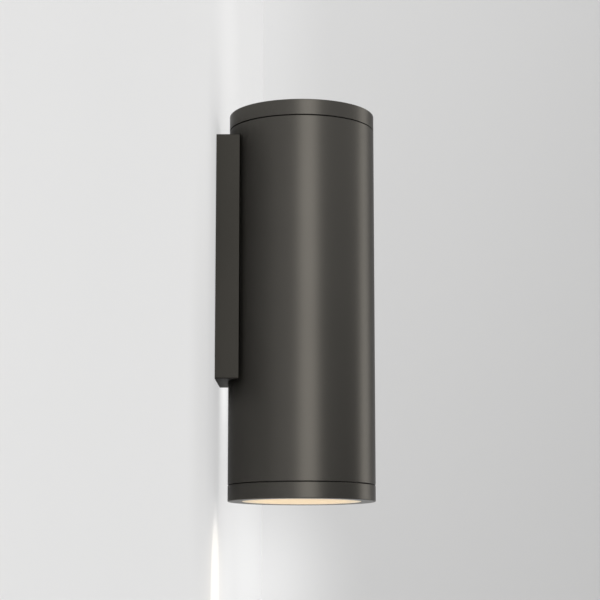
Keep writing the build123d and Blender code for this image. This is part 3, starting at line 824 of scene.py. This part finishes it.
@dataclass
class Bezel(ThreadedRing):
    """The bezel at the foot of the tube, with the flat rim round the lit opening."""

    opening: float = 36.6 * MM
    opening_ease: float = 0.15 * MM
    ledge: float = 1.0 * MM

    def build(self, room: FinishRoom) -> None:
        """Models and dresses the bezel."""
        low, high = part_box("lower_bezel")
        face = low.z
        outline = [(self.opening + self.opening_ease, face), *self.rim_and_spigot(face, high.z, 1)]
        outline += [(outline[-1][0], face + self.ledge), (self.opening, face + self.ledge),
                    (self.opening, face + self.opening_ease), outline[0]]
        self.make(room, "lower_bezel", outline, face, 1, self.opening_ease / 3)


@dataclass
class Glass:
    """The opal glass, with a stepped face that fills the bezel's opening."""

    tube: Tube
    step: float = 1.0 * MM
    face_inset: float = 1.7 * MM
    edge: float = 0.15 * MM

    def build(self, room: FinishRoom) -> None:
        """Turns the glass, rounds its edges and divides its flat faces into rings."""
        low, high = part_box("diffuser_glass")
        radius = (high.x - low.x) / 2
        face = radius - self.face_inset
        shelf = low.z + self.step
        glass = turned(self.tube.centre, [(face, low.z), (face, shelf), (radius, shelf),
                                          (radius, high.z)], sides=192)
        ease_edges(glass, self.edge, steps=4)
        edit(glass)
        select_where(glass, "FACE", lambda centre, normal: abs(normal.z) > 0.99
                     and (centre.z < low.z + NEAR or centre.z > high.z - NEAR))
        bpy.ops.mesh.inset(thickness=radius / 4)
        bpy.ops.mesh.inset(thickness=radius / 3)
        leave_edit()
        polish(glass)
        room.dress(settle(glass, "glass"), "diffuser_glass")


@dataclass
class BackBox:
    """The slim cast box that the tube lies against."""

    tube: Tube
    wall: float = 2.5 * MM
    saddle_gap: float = 0.1 * MM
    saddle_wall: float = 2.0 * MM
    edge: float = 0.8 * MM
    lug_thick: float = 1.5 * MM
    lug_high: float = 5.0 * MM
    lug_depth: float = 1.8 * MM
    lug_in: float = 13.3 * MM
    lug_from_middle: tuple[float, float] = (43.6 * MM, -40.4 * MM)
    boss: float = 4.0 * MM
    boss_in: float = 19.9 * MM
    screw: float = 2.05 * MM
    screw_hole: float = 2.3 * MM
    bush_hole: float = 7.1 * MM
    root: float = 1.0 * MM

    def build(self, room: FinishRoom) -> None:
        """Models the box from one block: rounded, hollowed from the wall side and the front."""
        low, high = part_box("back_box")
        front = self.tube.centre.y
        box = slab(Vector((low.x, front, low.z)), high)
        edit(box)
        corner = Vector((high.x, 0, high.z))
        select_where(box, "EDGE", lambda a, b: abs(abs(a.x) - corner.x) < NEAR
                     and (a - b).length > self.wall and abs(abs(a.z) - corner.z) < NEAR
                     and abs(a.x - b.x) < NEAR and abs(a.z - b.z) < NEAR)
        bpy.ops.mesh.bevel(offset=self.edge, segments=6, affect="EDGES")
        leave_edit()
        tall = 2 * (high.z - low.z)
        middle = Vector((0, front, (low.z + high.z) / 2))
        inner = Vector((self.wall, 0, self.wall))
        hollow = slab(Vector((low.x, front, low.z)) + inner, Vector((high.x, 0, high.z)) - inner)
        saddle = self.tube.radius + self.saddle_gap
        combine(hollow, bar(saddle + self.saddle_wall, middle, tall, Axis.Z, sides=288))
        combine(box, hollow)
        combine(box, bar(saddle, middle, tall, Axis.Z, sides=288))
        self.add_lugs_and_boss(box, high)
        drill_rear(box, high.y, self.tube.radius, self.screw_hole, self.bush_hole)
        ease_edges(box, self.edge / 4, sharp=40.0)
        polish(box)
        # The box takes the darker graphite copy, whose colour is painted shade.
        room.dress(settle(box, "back_box_casting"), "back_box", "graphite_casting_shaded")

    def add_lugs_and_boss(self, box: Piece, high: Vector) -> None:
        """Adds the four hanging lugs and the boss of the locking screw.

        Args:
            box: The hollowed box.
            high: Its highest corner.
        """
        root = high.x - self.wall + self.root
        for side in (-1, 1):
            for height in self.lug_from_middle:
                ends = sorted((side * self.lug_in, side * root))
                lug = slab(Vector((ends[0], -self.lug_depth - self.lug_thick, height)),
                           Vector((ends[1], -self.lug_depth, height + self.lug_high)))
                combine(box, lug, "UNION")
        screw_low, screw_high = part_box("locking_screw")
        place = Vector(((self.boss_in + root) / 2, *((screw_low + screw_high) / 2)[1:]))
        combine(box, bar(self.boss, place, root - self.boss_in, Axis.X), "UNION")
        combine(box, bar(self.screw, place, 2 * self.tube.radius / 3, Axis.X))


class Drive(Enum):
    """What turns a screw."""

    CROSS = "cross recess"
    SLOT = "slot"
    SOCKET = "hexagon socket"


@dataclass
class Screws:
    """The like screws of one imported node, modelled once and set at each one's place."""

    node: str
    heads: tuple[int, int, int]
    shank: float
    pitch: float
    head_high: float = 0.0
    drive: Drive = Drive.CROSS
    depth: float = 0.55
    blade: float = 0.16
    reach: float = 0.52
    tip: float = 0.3 * MM
    dome: tuple[tuple[float, float], ...] = ((0.55, 0), (0.82, 0.1), (0.95, 0.3), (1, 0.55), (1, 1))
    thread_depth: float = 0.32
    thread_root: float = 0.84
    thread_crest: float = 0.14
    run_out: float = 0.8
    thread_steps: int = 28
    sides: int = 40

    def outline(self, head: float, length: float) -> list[tuple[float, float]]:
        """Draws half of the screw, with its head's top at height 0.

        Args:
            head: Radius of the head.
            length: Whole length of the screw.

        Returns:
            Radius and height of each station.
        """
        core = self.shank - self.thread_depth * self.pitch
        end = [(core, -length + self.tip), (core - self.tip, -length)]
        if not self.head_high:
            return [(core - self.tip, 0), (core, -self.tip), *end]
        dome = [(head * wide, -self.head_high * deep) for wide, deep in self.dome]
        return [*dome, (core, -self.head_high), *end]

    def cutter(self, head: float) -> Piece:
        """Makes the blank that cuts the recess into the top of the screw."""
        wide = head * self.reach
        deep = (self.head_high or self.shank) * self.depth
        thin = head * self.blade
        if self.drive is Drive.SOCKET:
            return bar(wide, Vector((0, 0, -deep / 2 + NEAR)), deep, Axis.Z, sides=6)
        cross = slab(Vector((-thin, -wide, -deep)), Vector((thin, wide, self.tip)))
        if self.drive is Drive.SLOT:
            return cross
        combine(cross, slab(Vector((-wide, -thin, -deep)), Vector((wide, thin, self.tip))), "UNION")
        clear_selection()
        bpy.ops.mesh.primitive_cone_add(vertices=32, radius1=thin, radius2=wide * 1.25,
                                        depth=deep * 1.3, location=(0, 0, -deep * 0.35))
        combine(cross, bpy.context.object, "INTERSECT")
        return cross

    def model(self, head: float, length: float) -> Piece:
        """Turns one screw, cuts its recess and winds its thread."""
        origin = Vector((0, 0, 0))
        screw = turned(origin, self.outline(head, length), sides=self.sides)
        combine(screw, self.cutter(head))
        ease_edges(screw, head / 40, steps=1)
        wind = Thread(self.pitch, self.pitch * self.thread_root, self.pitch * self.thread_crest,
                      self.thread_steps)
        turns = (length - self.head_high) / self.pitch - 2 * self.run_out
        core = self.shank - self.thread_depth * self.pitch
        low = -length + self.pitch * self.run_out
        join(screw, [wind.ridge(origin, core - NEAR / 2, self.shank, low, turns)])
        return screw

    def build(self, room: FinishRoom) -> None:
        """Models one screw, turns it to its way and copies it to each place."""
        way = Vector(self.heads)
        boxes = solids_of(self.node)
        low, high = boxes[0]
        size = high - low
        length = abs(size.dot(way))
        head = (size.x + size.y + size.z - length) / 4
        first = self.model(head, length)
        first.rotation_euler = Vector((0, 0, 1)).rotation_difference(way).to_euler()
        first.location = (low + high) / 2 + way * (length / 2)
        settle(first, self.node + "_formed")
        copies = [copy_by(first, corner - low) for corner, _ in boxes[1:]]
        if copies:
            join(first, copies)
        polish(first)
        room.dress(settle(first, self.node + "_formed"), self.node)


M4 = (2.0 * MM, 0.7 * MM, 2.2 * MM)  # shank, pitch and height of the head
M3 = (1.5 * MM, 0.5 * MM, 1.8 * MM)
SCREWS: tuple[Screws, ...] = (
    Screws("tube_screws", (0, 1, 0), *M4),
    Screws("earth_screw", (0, -1, 0), *M4),
    Screws("driver_screws", (0, -1, 0), *M3),
    Screws("cord_clamp_screws", (0, 0, 1), *M3),
    Screws("terminal_block_screws", (0, 0, 1), *M3),
    Screws("board_screws", (0, 0, -1), *M3),
    Screws("heat_sink_screws", (0, 0, 1), *M3),
    Screws("reflector_screws", (0, 0, -1), *M3),
    Screws("terminal_screws", (0, 0, 1), 1.7 * MM, 0.5 * MM, drive=Drive.SLOT, depth=0.5,
           blade=0.2, reach=1.1),
    Screws("locking_screw", (1, 0, 0), 2.0 * MM, 0.7 * MM, drive=Drive.SOCKET, depth=1.0,
           reach=0.577),
)


@dataclass
class CableBush:
    """The rubber bush of the supply cable, with its flange and sealing ribs."""

    node: str = "cable_bush"
    bore: float = 4.0 * MM
    body: float = 6.9 * MM
    flange_high: float = 1.5 * MM
    ribs: int = 3
    rib: float = 0.35 * MM

    def build(self, room: FinishRoom) -> None:
        """Turns the bush with its flange down and lays it along the cable's way."""
        low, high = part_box(self.node)
        length, flange = high.y - low.y, (high.x - low.x) / 2
        step = (length - self.flange_high) / (2 * self.ribs + 1)
        outline = [(self.bore, 0), (flange - self.rib, 0), (flange, self.rib),
                   (flange, self.flange_high - self.rib), (flange - self.rib, self.flange_high)]
        for count in range(2 * self.ribs + 1):
            radius = self.body - self.rib * (count % 2 == 0)
            start = self.flange_high + count * step
            outline += [(radius, start), (radius, start + step)]
        outline += [(self.bore, length), (self.bore, 0)]
        bush = turned(Vector((0, 0, 0)), outline, sides=96)
        ease_edges(bush, self.rib / 3)
        bush.rotation_euler = (-QUARTER_TURN, 0, 0)
        bush.location = (0, low.y, (low.z + high.z) / 2)
        settle(bush, "cable_bush_formed")
        polish(bush)
        room.dress(bush, self.node)


@dataclass
class EasedPieces:
    """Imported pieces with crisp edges, copied and given the small round that real edges have."""

    widths: dict[str, float] = field(default_factory=lambda: {
        "wall_bracket": 0.18 * MM, "gear_tray": 0.15 * MM, "driver_case": 0.3 * MM,
        "driver_cover": 0.25 * MM, "terminal_block": 0.2 * MM, "cord_clamp": 0.25 * MM,
        "heat_sink": 0.15 * MM, "led_board": 0.08 * MM, "earth_tag": 0.1 * MM,
        "tray_spacers": 0.12 * MM, "tray_nuts": 0.12 * MM, "led_chips": 0.06 * MM,
        "reflector": 0.12 * MM, "lens_gasket": 0.12 * MM, "bezel_seal": 0.12 * MM,
        "cap_seal": 0.12 * MM})
    die_inset: float = 0.45 * MM
    die_depth: float = 0.06 * MM

    def copy_of(self, node: str) -> Piece:
        """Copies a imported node's mesh as one closed, clean shape."""
        mesh = frame["nodes"][node].data.copy()
        piece = bpy.data.objects.new(node + "_formed", mesh)
        bpy.context.scene.collection.objects.link(piece)
        edit(piece, "SELECT")
        bpy.ops.mesh.remove_doubles(threshold=NEAR / 4)
        bpy.ops.mesh.dissolve_limited(angle_limit=math.radians(1.0))
        outward()
        return piece

    def sink_dies(self, chips: Piece) -> None:
        """Sinks the glowing field into the face of each chip and gives it the second finish."""
        edit(chips)
        select_where(chips, "FACE", lambda centre, normal: normal.z < -0.99)
        bpy.ops.mesh.inset(thickness=self.die_inset, use_individual=True)
        bpy.ops.mesh.extrude_region_move(
            TRANSFORM_OT_translate={"value": (0, 0, self.die_depth)})
        chips.active_material_index = 1
        bpy.ops.object.material_slot_assign()
        leave_edit()

    def build(self, room: FinishRoom) -> None:
        """Eases and dresses each of them."""
        for node, width in self.widths.items():
            piece = self.copy_of(node)
            ease_edges(piece, width, sharp=40.0)
            room.dress(piece, node)
            if node == "led_chips":
                room.coat(piece, "white_plastic", "led_phosphor")
                self.sink_dies(piece)
            polish(piece)


@dataclass
class PackedPieces:
    """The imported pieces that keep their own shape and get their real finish."""

    def build(self, room: FinishRoom) -> None:
        """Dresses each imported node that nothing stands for."""
        for name, piece in sorted(frame["nodes"].items()):
            if piece.hide_render:
                continue
            room.coat(piece, room.slots[name])
            smooth(piece, 30.0)
            log.info("%s keeps its packed shape, %s", name, room.slots[name])


# ----------------------------------------------------------------------------------- studio
@dataclass(frozen=True)
class Patch:
    """A soft-edged part of a studio surface that is paler or darker than the rest: painted light or
    painted shade.

    A painted sheen is a patch of painted light or shade that shows only where the surface is seen
    along it.
    """

    middle: tuple[float, float]
    reach: tuple[float, float]
    change: float
    painted_sheen: bool = True


@dataclass(frozen=True)
class StagePaint:
    """Matt pale paint of a studio surface, which glows a share of its own tone, painted light and
    shade included, to the eye.
    """

    name: str
    tone: float
    along: str = "X"  # the axis that runs along the surface
    gloss: float = 0.0  # painted reflection: the tone that metal and glass see in it
    held: float = 0.6  # the share of its own tone that it glows with, in place of real light
    # patches of painted light and shade
    patches: tuple[Patch, ...] = ()
    fade: tuple[float, float, float, float] | None = None  # painted light near the corner and painted shade far from it: reach and change, near and far
    low: tuple[float, float, float] | None = None  # painted shade, darker towards the bottom: two heights, and the share left at the first
    real_near: tuple[float, float, float] | None = None  # start, end and height of the real light
    below_share: float = 0.45  # what gloss sees of its own tone below the light
    gloss_by_height: tuple[float, float, float] | None = None  # painted reflection by height: two heights and the last tone
    palest: float = 0.9  # the palest that it is to real light
    drift: float = 0.005
    painted_sheen: tuple[float, float] = (0.55, 0.85)  # how far along the surface a painted sheen starts and ends

    def tone_of(self, sheet: Sheet, place: Node) -> Socket:
        """Draws the tone: the paint's own, its painted light and shade along and down, and its
        patches of painted light and shade.

        Args:
            sheet: The material's nodes.
            place: The separated object coordinates.

        Returns:
            The tone as a number, at most white.
        """
        tone = sheet.ramp(sheet.noise(3.0), 0.3, 0.7, self.tone * (1 - self.drift),
                          self.tone * (1 + self.drift))
        run, rise = place.outputs[self.along], place.outputs["Z"]
        # Painted light near the corner, painted shade away from it.
        if self.fade:
            near, quick, far, slow = self.fade
            tone = sheet.math("ADD", tone, sheet.ramp(run, -far, 0.0, slow, 0.0))
            tone = sheet.math("ADD", tone, sheet.soft(run, -near, 0.0, 0.0, quick))
        for patch in self.patches:
            shares = [sheet.math("DIVIDE", sheet.math("SUBTRACT", value, middle), reach)
                      for value, middle, reach in zip((run, rise), patch.middle, patch.reach)]
            both = sheet.add("ShaderNodeCombineXYZ", dict(enumerate(shares))).outputs[0]
            away = sheet.add("ShaderNodeVectorMath", {0: both}, operation="LENGTH")
            change = sheet.soft(away.outputs["Value"], 0.0, 1.0, patch.change, 0.0)
            # A painted sheen's light or shade shows only where the surface is seen along it.
            if patch.painted_sheen:
                facing = sheet.add("ShaderNodeLayerWeight", {"Blend": 0.5}).outputs["Facing"]
                change = sheet.math("MULTIPLY", change,
                                    sheet.soft(facing, *self.painted_sheen, 0.0, 1.0))
            tone = sheet.math("ADD", tone, change)
        # Painted shade, darker towards the bottom.
        if self.low:
            deep, high, share = self.low
            tone = sheet.math("MULTIPLY", tone, sheet.ramp(rise, deep, high, share, 1.0))
        return sheet.math("MINIMUM", tone, 1.0)

    def held_share(self, sheet: Sheet, place: Node) -> Socket:
        """Says how much of the paint's own tone each ray sees.

        Args:
            sheet: The material's nodes.
            place: The separated object coordinates.

        Returns:
            The share: nothing for plain light rays, and less for gloss close to the light.
        """
        rays = sheet.add("ShaderNodeLightPath").outputs
        glossy = rays["Is Glossy Ray"]
        if self.real_near:
            start, end, top = self.real_near
            wide, height = sheet.math("ABSOLUTE", place.outputs["X"]), place.outputs["Z"]
            clear = sheet.math("MAXIMUM", sheet.soft(wide, start, end, 0.0, 1.0),
                               sheet.soft(height, top, top + start, 0.0, 1.0))
            clear = sheet.math("MAXIMUM", clear, sheet.soft(height, -top - start, -top,
                                                            self.below_share, 0.0))
            glossy = sheet.math("MULTIPLY", glossy, clear)
        seen = sheet.math("MAXIMUM", rays["Is Camera Ray"], rays["Is Transmission Ray"])
        return sheet.math("MULTIPLY", sheet.math("MAXIMUM", seen, glossy), self.held)

    @staticmethod
    def covered(sheet: Sheet, place: Node) -> Socket:
        """Marks the wall behind the bracket, which lets light through but looks closed.

        Args:
            sheet: The material's nodes.
            place: The separated object coordinates.

        Returns:
            One for light behind the bracket, nothing elsewhere and nothing to the eye.
        """
        low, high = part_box("wall_bracket")
        middle, half = (low + high) / 2, (high - low) / 2
        share = sheet.math("SUBTRACT", 1.0,
                           sheet.add("ShaderNodeLightPath").outputs["Is Camera Ray"])
        for name, centre, limit in (("X", middle.x, half.x), ("Z", middle.z, half.z)):
            inside = sheet.math("COMPARE", place.outputs[name], centre, limit + BRACKET_MARGIN)
            share = sheet.math("MULTIPLY", share, inside)
        return share

    def make(self) -> bpy.types.Material:
        """Builds the paint, which shows from its front only."""
        material, sheet = new_material(self.name)
        place = sheet.add("ShaderNodeSeparateXYZ", {0: sheet.place()})
        tone = self.tone_of(sheet, place)
        paint = sheet.grey(sheet.math("MINIMUM", tone, self.palest))
        surface = sheet.add("ShaderNodeBsdfPrincipled",
                            {"Base Color": paint, "Roughness": 0.9}).outputs[0]
        # The surface glows a share of its tone, painted light and shade included, as painted light;
        # gloss sees a painted reflection tone instead.
        if self.gloss:
            level = self.gloss
            if self.gloss_by_height:
                low, high, last = self.gloss_by_height
                level = sheet.soft(place.outputs["Z"], low, high, self.gloss, last)
            glow = sheet.mix(sheet.add("ShaderNodeLightPath").outputs["Is Glossy Ray"],
                             sheet.grey(tone), sheet.grey(level))
            own = sheet.add("ShaderNodeEmission", {"Color": glow, "Strength": 1.0}).outputs[0]
            surface = sheet.blend(self.held_share(sheet, place), surface, own)
        behind = sheet.add("ShaderNodeNewGeometry").outputs["Backfacing"]
        if self.real_near:
            behind = sheet.math("MAXIMUM", behind, self.covered(sheet, place))
        clear = sheet.add("ShaderNodeBsdfTransparent").outputs[0]
        sheet.close(sheet.blend(behind, surface, clear))
        return material


# The wall's patches are painted light and shade, and its gloss tones are painted reflections.
WALL_PAINT = StagePaint(
    "wall_paint", 0.785, gloss=0.95, held=0.7, real_near=(0.02, 0.12, 0.075),
    gloss_by_height=(0.08, 0.11, 1.0),
    patches=(Patch((0.695, 0.3), (0.6, 0.7), 0.03, False),   # painted light towards the corner
             Patch((0.1, 0.17), (0.2, 0.15), 0.05),          # painted light above the light
             Patch((0.07, -0.08), (0.07, 0.07), 0.1),        # painted light beside the tube, below the box
             Patch((0.075, -0.072), (0.05, 0.03), 0.12),
             Patch((-0.11, -0.1), (0.12, 0.16), -0.07),      # painted shadow that widens the box's shadow
             Patch((0.44, -0.196), (0.68, 0.105), 0.17),     # painted light on the wall under the light
             Patch((0.1, -0.205), (0.13, 0.07), 0.06),
             Patch((0.0, -0.215), (0.046, 0.07), 1.2, False)))  # painted bright core under the glass, over the real downlight
# The backdrop's fade is painted light near the corner and painted shade away from it, its low end
# painted shade, its patch painted light from the glass, and its gloss tones painted reflections.
BACKDROP_PAINT = StagePaint(
    "backdrop_paint", 0.70, along="Y", gloss=0.55, held=0.8,
    gloss_by_height=(-0.06, -0.2, 1.0), fade=(0.075, 0.065, 0.4, -0.10),
    low=(-0.25, 0.4, 0.88), patches=(Patch((0.0, -0.196), (0.11, 0.12), 0.2, False),))
FLOOR_PAINT = StagePaint("floor_paint", 0.7)


@dataclass(frozen=True)
class Panel:
    """A soft light panel that faces the light's axis."""

    name: str
    azimuth: float  # degrees from the eye's side, positive towards the light's front
    height: float
    away: float
    size: tuple[float, float]
    power: float

    def hang(self) -> None:
        """Hangs the panel in its place and turns it to the light."""
        turn = math.radians(self.azimuth)
        middle = Vector((0, AXIS_Y, self.height))
        place = middle + self.away * Vector((-math.cos(turn), -math.sin(turn), 0))
        holder = area_lamp(self.name, place, self.power, (1.0, 0.98, 0.95))
        holder.data.shape = "RECTANGLE"
        holder.data.size, holder.data.size_y = self.size
        holder.rotation_euler = (middle - place).to_track_quat("-Z", "Y").to_euler()


def area_lamp(name: str, place: Vector, power: float,
              tone: tuple[float, float, float]) -> Piece:
    """Adds an area lamp that points down."""
    lamp = bpy.data.lights.new(name, "AREA")
    lamp.energy = power
    lamp.color = tone
    holder = bpy.data.objects.new(name, lamp)
    holder.location = place
    bpy.context.scene.collection.objects.link(holder)
    return holder


@dataclass
class Studio:
    """Pale wall, backdrop and floor, soft lamps, and the camera at the photograph's place."""

    wall_end: float = 0.695
    reach: float = 3.0
    floor: float = -1.1
    air: float = 0.8
    air_low: float = 0.33
    air_high: float = 1.0
    air_rise: tuple[float, float] = (0.1, 0.2)
    panels: tuple[Panel, ...] = (Panel("key_panel", 10.0, 0.36, 1.6, (0.85, 2.2), 13.0),
                                 Panel("rear_strip", 114.0, 0.46, 0.62, (0.25, 1.4), 2.55))
    downlight_size: float = 0.06
    downlight_height: float = -0.1492
    downlight_power: float = 0.07
    downlight_spread: float = 150.0
    eye: tuple[float, float, float] = (-1.09893, -0.07252, -0.20206)
    yaw: float = -1.107
    pitch: float = 9.208
    lens: float = 108.09

    def build(self) -> None:
        """Sets up everything round the light."""
        self.surfaces()
        self.surroundings()
        self.lamps()
        self.camera()

    def sheet_of(self, name: str, middle: tuple[float, float, float],
                 turn: tuple[float, float, float], size: tuple[float, float],
                 paint: StagePaint) -> None:
        """Puts up one flat surface of the studio.

        Args:
            name: Its name.
            middle: Its middle point.
            turn: Its rotation, which sets the way that it faces.
            size: Its two sides.
            paint: Its paint.
        """
        clear_selection()
        bpy.ops.mesh.primitive_plane_add(size=1, location=middle, rotation=turn)
        piece = bpy.context.object
        piece.scale = (*size, 1)
        settle(piece, name)
        piece.data.materials.append(paint.make())

    def surfaces(self) -> None:
        """Puts up the wall behind the light, the backdrop past its end, and the floor."""
        tall = self.reach - self.floor
        height = (self.reach + self.floor) / 2
        self.sheet_of("studio_wall", ((self.wall_end - self.reach) / 2, 0, height),
                      (QUARTER_TURN, 0, 0), (self.wall_end + self.reach, tall), WALL_PAINT)
        self.sheet_of("studio_backdrop", (self.wall_end, -self.reach / 2, height),
                      (QUARTER_TURN, 0, -QUARTER_TURN), (self.reach, tall), BACKDROP_PAINT)
        self.sheet_of("studio_floor", (0, 0, self.floor), (0, 0, 0),
                      (2 * self.reach, 2 * self.reach), FLOOR_PAINT)

    def surroundings(self) -> None:
        """Lights the room evenly, and shows a room that is paler above to the eye and in gloss."""
        world = bpy.data.worlds.new("studio_air")
        world.use_nodes = True
        bpy.context.scene.world = world
        sheet = Sheet(world.node_tree)
        rays = sheet.add("ShaderNodeLightPath").outputs
        seen = sheet.math("MAXIMUM", rays["Is Camera Ray"], rays["Is Glossy Ray"])
        seen = sheet.math("MAXIMUM", seen, rays["Is Transmission Ray"])
        way = sheet.add("ShaderNodeSeparateXYZ", {0: sheet.add(
            "ShaderNodeTexCoord").outputs["Generated"]})
        level = sheet.ramp(way.outputs["Z"], *self.air_rise, self.air_low, self.air_high)
        soft = sheet.add("ShaderNodeBackground", {"Color": (1, 1, 1, 1), "Strength": self.air})
        pale = sheet.add("ShaderNodeBackground", {"Color": sheet.grey(level), "Strength": 1.0})
        sheet.close(sheet.blend(seen, soft.outputs[0], pale.outputs[0]), "ShaderNodeOutputWorld")

    def lamps(self) -> None:
        """Hangs the panels that draw the tube's upright bands, and lights the wall below it."""
        for panel in self.panels:
            panel.hang()
        holder = area_lamp("downlight", Vector((0, AXIS_Y, self.downlight_height)),
                           self.downlight_power, (1.0, 0.83, 0.6))
        holder.data.shape = "DISK"
        holder.data.size = self.downlight_size
        holder.data.spread = math.radians(self.downlight_spread)
        holder.visible_camera = False
        holder.visible_glossy = False

    def camera(self) -> None:
        """Puts the camera where the photograph was taken from."""
        data = bpy.data.cameras.new("camera")
        data.lens = self.lens
        data.sensor_width = 36.0
        data.clip_start, data.clip_end = 0.01, 50.0
        holder = bpy.data.objects.new("camera", data)
        yaw, pitch = math.radians(self.yaw), math.radians(self.pitch)
        ahead = Vector((math.cos(pitch) * math.cos(yaw), -math.cos(pitch) * math.sin(yaw),
                        math.sin(pitch)))
        holder.location = self.eye
        holder.rotation_euler = ahead.to_track_quat("-Z", "Y").to_euler()
        bpy.context.scene.collection.objects.link(holder)
        bpy.context.scene.camera = holder


def main() -> None:
    """Builds the light's pieces in order, then the studio."""
    logging.basicConfig(level=logging.INFO, format="%(name)s: %(message)s")
    bpy.context.scene.view_settings.view_transform = "Standard"
    room = FinishRoom()
    tube = Tube()
    for assembly in (tube, Cap(tube), Bezel(tube), Glass(tube), BackBox(tube), CableBush(),
                     *SCREWS, EasedPieces(), PackedPieces()):
        assembly.build(room)
    Studio().build()
    bpy.context.view_layer.update()


if __name__ == "__main__":
    main()
